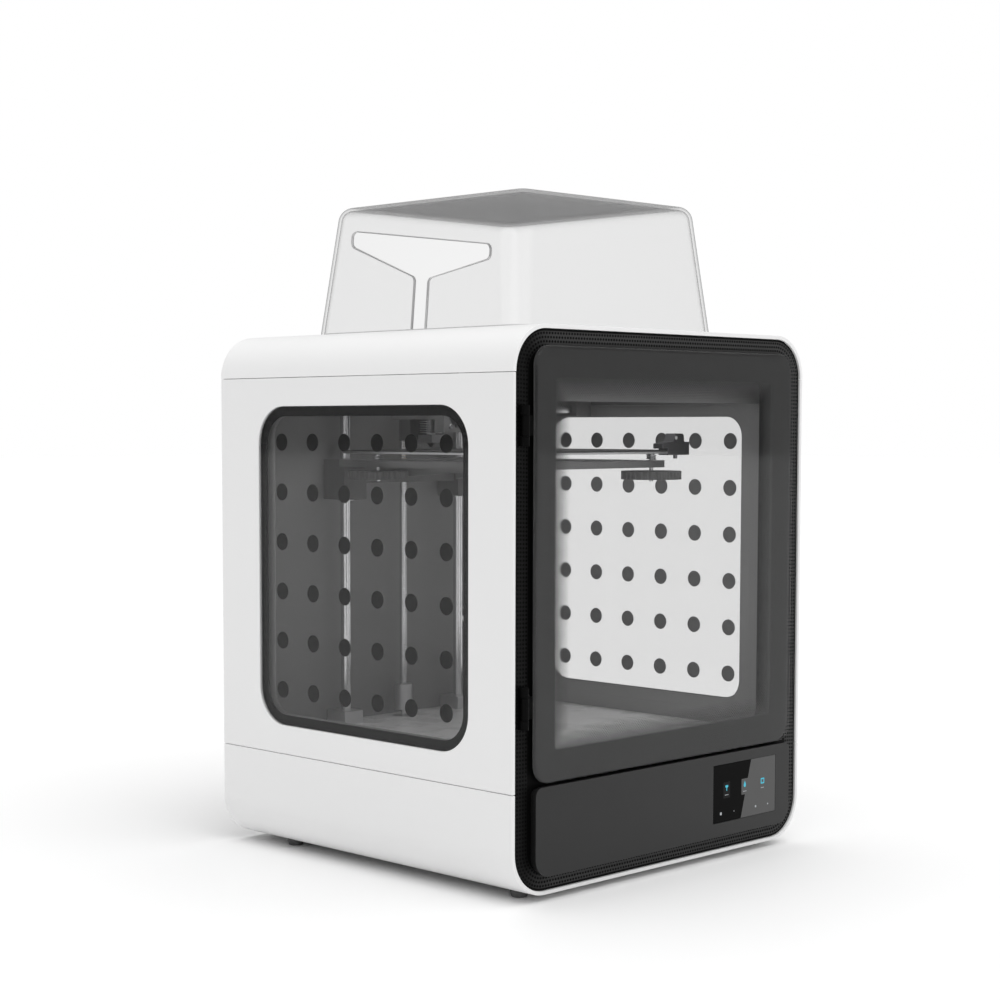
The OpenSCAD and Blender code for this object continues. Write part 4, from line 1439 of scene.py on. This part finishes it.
@dataclass
class Chamber:
    """Floor, back wall and side liners of the build chamber."""

    smith: Smith
    sheet: float = 1.5 * MM
    opening: float = -2.3 * MM
    opening_corner: float = 35 * MM
    lip: float = 8.7 * MM
    lip_corner: float = 20 * MM

    def build(self) -> None:
        """Makes the chamber's walls."""
        self.smith.refine("chamber_floor", "frame", "grey_metal", Palette.GROUND, 0.3 * MM)
        self.smith.refine("chamber_back_wall", "frame", "grey_metal", Palette.WALL, 0.3 * MM)
        self.smith.refine("side_liners", "frame", "grey_metal", Palette.LINER, 0.3 * MM)
        self.lips()

    def lips(self) -> None:
        """Adds the flat lip round each liner's opening, behind the window's dark border."""
        low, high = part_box("side_windows")
        liner_low, liner_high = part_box("side_liners")
        loops = [
            rounded(low[1] + inset, high[1] - inset, low[2] + inset, high[2] - inset, corner)
            for inset, corner in ((self.opening, self.opening_corner), (self.lip, self.lip_corner))
        ]
        lips = [
            turned(band(*loops, start, start + self.sheet), Axis.X.matrix())
            for start in (liner_low[0], liner_high[0] - self.sheet)
        ]
        self.smith.build("liner_lips", merged(lips), "frame", "grey_metal", Palette.LINER, 0)


@dataclass
class Motor:
    """Square stepper motor: two cast caps, a stack of laminations and four screws."""

    smith: Smith
    node: str
    body: str
    axis: Axis
    shaft_up: bool
    cap: float = 8.5 * MM
    chamfer: float = 4 * MM
    plates: int = 14
    screw_pitch: float = 31 * MM
    screw_head: Point2 = (2.6 * MM, 0.25 * MM)
    screw_sunk: float = 0.1 * MM
    plate_inset: float = 0.5 * MM
    core_inset: float = 0.9 * MM
    plate_gap: float = 0.12

    def outline(self, half: float, chamfer: float) -> list[Point2]:
        """Returns a square with cut corners."""
        long, short = half, half - chamfer
        quarter = [(long, -short), (long, short), (short, long), (-short, long)]
        return quarter + [(-u, -v) for u, v in quarter]

    def plate(self, half: float, chamfer: float, w0: float, w1: float) -> bmesh.types.BMesh:
        """Returns one cut-cornered plate."""
        return loft([[(u, v, w) for u, v in self.outline(half, chamfer)] for w in (w0, w1)])

    def build(self) -> None:
        """Makes the motor in place of its CAD node."""
        low, high = self.axis.span(self.node)
        half = min(high.x - low.x, high.y - low.y) / 2
        length = high.z - low.z
        middle = (low + high) / 2
        stand = Matrix.Translation(self.axis.matrix() @ middle) @ self.axis.matrix()
        stack = length - 2 * self.cap
        step = stack / self.plates
        tree = row_tree()
        ends = self.plate_gap * step, (1 - self.plate_gap) * step
        plate = self.plate(half - self.plate_inset, self.chamfer * 1.4, *ends)
        laminations = tree.run({"Count": self.plates, "Step": (0, 0, step)}, Palette.MOTOR, plate)
        core = solid(self.plate(half - self.core_inset, self.chamfer * 1.5, -stack / 2, stack / 2))
        shift = stand @ Matrix.Translation((0, 0, -stack / 2))
        whole = joined([laminations, core], [shift, stand])
        self.smith.settle(f"{self.node}_stack", whole, self.body, "motor_black", None, [self.node])
        ends = [
            self.plate(half, self.chamfer, -length / 2, -stack / 2),
            self.plate(half, self.chamfer, stack / 2, length / 2),
        ]
        caps = turned(merged(ends), stand)
        self.smith.build(f"{self.node}_caps", caps, self.body, "aluminium", Palette.CASE, 0.5 * MM)
        face = (length / 2 - self.screw_sunk) * (1 if self.shaft_up else -1)
        spot = Spot(stand @ Vector((0, 0, face)), self.axis, not self.shaft_up)
        layout = (2, 2, self.screw_pitch, self.screw_pitch)
        self.smith.screws(f"{self.node}_screws", spot, layout, self.screw_head, self.body)


@dataclass
class UprightDrive:
    """Smooth rods, lead screw, coupler and motor that carry the bed."""

    smith: Smith
    pitch: float = 2.5 * MM
    thread: float = 0.5 * MM
    shank: float = 52 * MM
    shank_radius: float = 2.5 * MM
    steps: int = 12

    def build(self) -> None:
        """Makes the upright drive."""
        self.smith.refine("z_rods", "frame", "steel", Palette.STEEL)
        self.smith.refine("rod_clamps", "frame", "aluminium", Palette.ALUMINIUM, 0.6 * MM)
        Motor(self.smith, "z_motor", "frame", Axis.Z, True).build()
        self.smith.refine("screw_coupler", "screw", "aluminium", Palette.ALUMINIUM, 0.6 * MM)
        self.lead_screw()

    def lead_screw(self) -> None:
        """Makes the screw with its shank and wound thread."""
        low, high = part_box("lead_screw")
        middle = centre("lead_screw")
        radius = (high[0] - low[0]) / 2 - self.thread
        stand = Matrix.Translation((middle.x, middle.y, 0))
        joint = low[2] + self.shank
        core = solid(
            lathe([(self.shank_radius, low[2]), (self.shank_radius, joint)]),
            lathe([(radius, joint + 2 * MM), (radius, high[2])]),
        )
        height = high[2] - joint - 4 * MM
        thread = wound(radius, height, height / self.pitch, self.thread, self.steps)
        lift = stand @ Matrix.Translation((0, 0, joint + 3 * MM))
        whole = joined([thread, core], [lift, stand])
        self.smith.settle("lead_screw_body", whole, "screw", "steel", None, ["lead_screw"])


@dataclass
class Bed:
    """Heated bed on its cantilever bracket, with levelling wheels and clips."""

    smith: Smith
    pin_inset: float = 20 * MM
    pin_rise: float = 20 * MM
    pin: Sequence[Point2] = ((1.7 * MM, -0.2 * MM), (1.7 * MM, 0.1 * MM), (1.0 * MM, 0.5 * MM))
    rib_circle: float = 15 * MM
    rib_count: int = 20
    rib_rise: float = 1.6 * MM
    rib: Point3 = (6.8 * MM, 0.5 * MM, 1.1 * MM)
    spring_radius: float = 4.2 * MM
    spring_wire: float = 0.75 * MM
    spring_turns: float = 3.0
    spring_gap: float = 0.8 * MM
    stud_radius: float = 2 * MM
    bearing_gap: float = 0.15 * MM
    bearing_wall: float = 4 * MM
    bearing_ends: Point2 = (-1.2 * MM, 1 * MM)

    def build(self) -> None:
        """Makes the bed."""
        refine = self.smith.refine
        refine("bed_bracket", "bed", "grey_metal", Palette.SHEET_METAL, 0.7 * MM)
        refine("bed_carriage", "bed", "carriage", Palette.CARRIAGE, 1.0 * MM)
        refine("lead_nut", "bed", "brass", Palette.BRASS)
        refine("heated_bed", "bed", "aluminium", Palette.ALUMINIUM, 0.3 * MM)
        refine("print_sheet", "bed", "print_surface", Palette.GRIT, 0.3 * MM)
        self.studs()
        self.bearings()
        refine("bed_clips", "bed", "steel", Palette.CLIP, 0.9 * MM, 3)
        self.pins()
        for corner in CORNERS:
            node, body = f"levelling_wheel_{corner}", f"wheel_{corner}"
            refine(node, body, "moving_plastic", Palette.MOULDED, 0.5 * MM)
            self.ribs(corner)

    def pins(self) -> None:
        """Sets a white pin in the hole of each clip."""
        low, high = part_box("bed_clips")
        parts = []
        for x in (low[0] + self.pin_inset, high[0] - self.pin_inset):
            spot = Spot((x, low[1], low[2] + self.pin_rise), Axis.Y)
            parts.append(turned(lathe(self.pin, 20), spot.matrix()))
        self.smith.build("clip_pins", merged(parts), "bed", "steel", Palette.PIN, 0)

    def ribs(self, corner: str) -> None:
        """Adds the ribs under a levelling wheel."""
        node = f"levelling_wheel_{corner}"
        rib = block([-half for half in self.rib], self.rib)
        values = {"Radius": self.rib_circle, "Count": self.rib_count}
        mesh = wheel_tree().run(values, Palette.MOULDED, rib)
        stand = centre(node)
        stand.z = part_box(node)[0][2] + self.rib_rise
        whole = joined([mesh], [Matrix.Translation(stand)])
        self.smith.settle(f"wheel_ribs_{corner}", whole, f"wheel_{corner}", "moving_plastic")

    def studs(self) -> None:
        """Makes the levelling studs and their springs."""
        low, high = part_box("bed_studs")
        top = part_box("bed_bracket")[1][2]
        height = high[2] - top - 2 * self.spring_gap
        spring = wound(self.spring_radius, height, self.spring_turns, self.spring_wire, 28)
        stud = solid(lathe([(self.stud_radius, low[2]), (self.stud_radius, high[2])]))
        meshes, places = [], []
        for corner in CORNERS:
            x, y, _ = centre(f"levelling_wheel_{corner}")
            meshes += [spring, stud]
            places += [Matrix.Translation((x, y, z)) for z in (top + self.spring_gap, 0)]
        whole = joined(meshes, places)
        self.smith.settle("bed_studs_body", whole, "bed", "steel", None, ["bed_studs"])

    def bearings(self) -> None:
        """Adds the linear bearings' ends under the carriage."""
        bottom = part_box("bed_carriage")[0][2]
        low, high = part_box("z_rods")
        radius = (high[1] - low[1]) / 2
        inner, outer = radius + self.bearing_gap, radius + self.bearing_wall
        start, end = (bottom + shift for shift in self.bearing_ends)
        profile = [(inner, start), (outer, start), (outer, end), (inner, end)]
        rings = [
            turned(lathe(profile, 40, True), Matrix.Translation((x, centre("z_rods").y, 0)))
            for x in (low[0] + radius, high[0] - radius)
        ]
        self.smith.build("linear_bearings", merged(rings), "bed", "steel", Palette.STEEL_ACROSS, 0.3 * MM)


@dataclass
class Gantry:
    """Belt driven gantry with its rods, motors, print head and fan."""

    smith: Smith
    screw_pitch: float = 33 * MM
    screw_head: Point2 = (2.2 * MM, 1.2 * MM)

    def build(self) -> None:
        """Makes the gantry."""
        refine = self.smith.refine
        refine("gantry_frame", "frame", "grey_metal", Palette.SHEET_METAL)
        refine("y_rods", "frame", "steel", Palette.STEEL_ACROSS)
        Motor(self.smith, "y_motor", "frame", Axis.X, True).build()
        refine("y_belts", "frame", "rubber", Palette.RUBBER, 0.1 * MM)
        refine("y_shaft", "drive_shaft", "steel", Palette.STEEL_ACROSS)
        refine("x_rods", "gantry", "steel", Palette.STEEL_ACROSS)
        refine("gantry_blocks", "gantry", "carriage", Palette.CARRIAGE, 0.8 * MM)
        Motor(self.smith, "x_motor", "gantry", Axis.Z, False).build()
        refine("x_belt", "gantry", "rubber", Palette.RUBBER, 0.1 * MM)
        refine("x_pulley", "cross_pulley", "steel", Palette.ALUMINIUM, 0.2 * MM)
        # The head body takes the lighter carriage grey, painted light against its shade.
        refine("head_body", "head", "carriage", Palette.HEAD, 1.2 * MM, 3)
        refine("hotend", "head", "aluminium", Palette.ALUMINIUM, 0.2 * MM)
        refine("head_fan", "head_rotor", "moving_plastic", Palette.MOULDED, 0.2 * MM)
        middle = centre("head_fan")
        middle.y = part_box("head_body")[0][1]
        layout = (2, 2, self.screw_pitch, self.screw_pitch)
        self.smith.screws("head_screws", Spot(middle, Axis.Y), layout, self.screw_head, "head")


@dataclass
class Electronics:
    """Power supply, board, inlet, switch and exhaust fan."""

    smith: Smith
    vents: tuple[int, int, float, float] = (28, 13, 176 * MM, 84 * MM)
    vent: Sequence[Point2] = ((1.9 * MM, -0.1 * MM), (1.9 * MM, 0.05 * MM))
    vents_shift: float = 5 * MM
    terminals: tuple[int, int, float, float] = (7, 1, 57 * MM, 0)
    terminal_head: Point2 = (2.4 * MM, 1.2 * MM)
    terminals_from: Point3 = (45 * MM, -4 * MM, 20.4 * MM)
    fin: Point3 = (7.4 * MM, 0.5 * MM, 5 * MM)
    fins: int = 6
    fin_step: float = 2.6 * MM
    coolers: int = 4
    coolers_from: Point3 = (19.5 * MM, 21 * MM, -1 * MM)
    cooler_step: float = 24 * MM
    pin: Point3 = (0.4 * MM, 0.4 * MM, 1.2 * MM)
    pins: tuple[int, int, float, float] = (4, 2, 7.5 * MM, 4 * MM)
    plugs: int = 5
    plugs_from: Point3 = (16 * MM, 94 * MM, -0.1 * MM)
    plug_step: float = 20 * MM

    def build(self) -> None:
        """Makes the electronics."""
        refine = self.smith.refine
        refine("power_supply", "frame", "aluminium", Palette.CASE, 0.8 * MM)
        refine("mainboard", "frame", "board", Palette.BOARD, 0.3 * MM)
        refine("power_inlet", "frame", "black_plastic", Palette.BLACK, 0.5 * MM)
        refine("rocker_switch", "switch_rocker", "moving_plastic", Palette.ROCKER, 0.5 * MM)
        refine("exhaust_fan_frame", "frame", "black_plastic", Palette.BLACK, 0.5 * MM)
        refine("exhaust_fan", "exhaust_rotor", "moving_plastic", Palette.MOULDED, 0.3 * MM)
        self.dress()

    def dress(self) -> None:
        """Adds the supply's vents as dark discs of painted hole shade, its terminal screws, and the board's
        coolers and plug pins.
        """
        low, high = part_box("power_supply")
        top = centre("power_supply")
        top.y -= self.vents_shift
        top.z = high[2]
        vent = lathe(self.vent, 8)
        # Vents are thin dark discs on the case: painted shade of vent holes.
        self.smith.pattern(
            "supply_vents", [Spot(top)], self.vents, vent, "frame", "black_plastic", Palette.HOLE_SHADE
        )
        terminals = Vector((low[0], high[1], low[2])) + Vector(self.terminals_from)
        self.smith.screws("terminal_screws", Spot(terminals), self.terminals, self.terminal_head)
        low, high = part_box("mainboard")
        corner = Vector((low[0], low[1], high[2]))
        values = {"Count": self.fins, "Step": (0, self.fin_step, 0)}
        fins = row_tree().run(values, Palette.ALUMINIUM, self.upright(self.fin))
        places = [
            Matrix.Translation(corner + Vector(self.coolers_from) + Vector((self.cooler_step * i, 0, 0)))
            for i in range(self.coolers)
        ]
        coolers = joined([fins] * self.coolers, places)
        self.smith.settle("driver_coolers", coolers, "frame", "aluminium")
        plugs = [
            Spot(corner + Vector(self.plugs_from) + Vector((self.plug_step * i, 0, 0)))
            for i in range(self.plugs)
        ]
        pin = self.upright(self.pin)
        self.smith.pattern("plug_pins", plugs, self.pins, pin, "frame", "steel", Palette.STEEL)

    def upright(self, size: Point3) -> bmesh.types.BMesh:
        """Returns a box standing on the u-v plane, given its half width, half depth and height."""
        return block((-size[0], -size[1], 0), size)


@dataclass
class Feed:
    """Spool holder and extruder on the back."""

    smith: Smith
    holder_depth: float = 5 * MM
    holder_layout: tuple[int, int, float, float] = (2, 2, 50 * MM, 66 * MM)
    holder_head: Point2 = (3.2 * MM, 2.2 * MM)
    extruder_layout: tuple[int, int, float, float] = (2, 2, 31 * MM, 31 * MM)
    extruder_head: Point2 = (2.8 * MM, 1.8 * MM)
    spring_radius: float = 3.2 * MM
    spring_height: float = 10 * MM
    spring_wire: float = 0.5 * MM
    spring_turns: float = 6.0
    spring_from: Point3 = (-5.5 * MM, -9 * MM, 0.3 * MM)

    def build(self) -> None:
        """Makes the feed."""
        refine = self.smith.refine
        refine("spool_holder", "frame", "black_plastic", Palette.BLACK, 1.0 * MM, 3)
        Motor(self.smith, "extruder_motor", "frame", Axis.Y, False).build()
        refine("extruder_body", "frame", "moving_plastic", Palette.MOULDED, 0.8 * MM, 3)
        refine("extruder_gear", "feed_gear", "brass", Palette.BRASS, 0.15 * MM)
        self.dress()

    def dress(self) -> None:
        """Adds the plate's and the extruder's screws and the idler spring."""
        plate = centre("spool_holder")
        plate.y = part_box("spool_holder")[0][1] + self.holder_depth
        spot = Spot(plate, Axis.Y, True)
        self.smith.screws("holder_screws", spot, self.holder_layout, self.holder_head)
        _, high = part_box("extruder_body")
        face = centre("extruder_motor")
        face.y = high[1]
        spot = Spot(face, Axis.Y, True)
        self.smith.screws("extruder_screws", spot, self.extruder_layout, self.extruder_head)
        spring = wound(self.spring_radius, self.spring_height, self.spring_turns, self.spring_wire, 20)
        stand = Vector((high[0], high[1], face.z)) + Vector(self.spring_from)
        whole = joined([spring], [Matrix.Translation(stand)])
        self.smith.settle("idler_spring", whole, "frame", "steel")


@dataclass
class Studio:
    """Floor, lights and camera."""

    eye: Vector = field(default_factory=lambda: Vector((-1.38738, -1.36448, 0.40547)))
    heading: float = 44.37
    tilt: float = -4.15
    lens: float = 71.54
    shift: Point2 = (0.0525, 0.0693)
    fill: float = 0.45
    sun: float = 2.25
    sun_angle: float = 80
    sensor: float = 36
    far: float = 100
    aim: tuple[float, float, float] = (0.06, 0.2, -0.97)

    def build(self) -> None:
        """Makes the studio."""
        self.floor()
        self.lights()
        self.camera()

    def floor(self) -> None:
        """Makes the pale floor."""
        look = Look("pale_floor")
        cloud = look.noise(2, 2)
        shader = look.principled(
            {"Base Color": look.blend(cloud, grey(250), grey(253)), "Roughness": 0.6}
        )
        bm = bmesh.new()
        bmesh.ops.create_grid(bm, x_segments=1, y_segments=1, size=20)
        mesh = frozen(bm, "floor")
        mesh.materials.append(look.close(shader))
        linked("floor", mesh)

    def lights(self) -> None:
        """Makes a white surround and one broad soft light from above the front."""
        world = bpy.data.worlds.new("surround")
        world.use_nodes = True
        tree = Tree(world.node_tree)
        white = (1, 1, 1, 1)
        fill = tree.add("ShaderNodeBackground", {"Color": white, "Strength": self.fill})
        seen = tree.add("ShaderNodeBackground", {"Color": white})
        path = tree.add("ShaderNodeLightPath").outputs["Is Camera Ray"]
        mix = tree.add("ShaderNodeMixShader", {0: path, 1: fill.outputs[0], 2: seen.outputs[0]})
        tree.add("ShaderNodeOutputWorld", {"Surface": mix.outputs[0]})
        bpy.context.scene.world = world
        data = bpy.data.lights.new("softbox", "SUN")
        data.energy = self.sun
        data.angle = math.radians(self.sun_angle)
        lamp = linked("softbox", data)
        lamp.rotation_euler = Vector(self.aim).to_track_quat("-Z", "Y").to_euler()
        bpy.context.scene.view_settings.view_transform = "Standard"

    def camera(self) -> None:
        """Makes the camera."""
        data = bpy.data.cameras.new("camera")
        data.sensor_width = self.sensor
        data.lens = self.lens
        data.shift_x, data.shift_y = self.shift
        data.clip_end = self.far
        camera = linked("camera", data)
        heading, tilt = math.radians(self.heading), math.radians(self.tilt)
        level = math.cos(tilt)
        ahead = Vector((math.sin(heading) * level, math.cos(heading) * level, math.sin(tilt)))
        camera.location = self.eye
        camera.rotation_euler = ahead.to_track_quat("-Z", "Y").to_euler()
        bpy.context.scene.camera = camera


SUB_ASSEMBLIES = (
    Shell,
    SideWindows,
    Front,
    Door,
    Hood,
    Chamber,
    UprightDrive,
    Bed,
    Gantry,
    Electronics,
    Feed,
)


def main() -> None:
    """Builds the studio and every sub-assembly in order."""
    logging.basicConfig(level=logging.INFO, format="%(name)s: %(message)s")
    Studio().build()
    smith = Smith()
    for part in SUB_ASSEMBLIES:
        LOG.info("building %s", part.__name__)
        part(smith).build()
    LOG.info("%d pieces", smith.made)


if __name__ == "__main__":
    main()
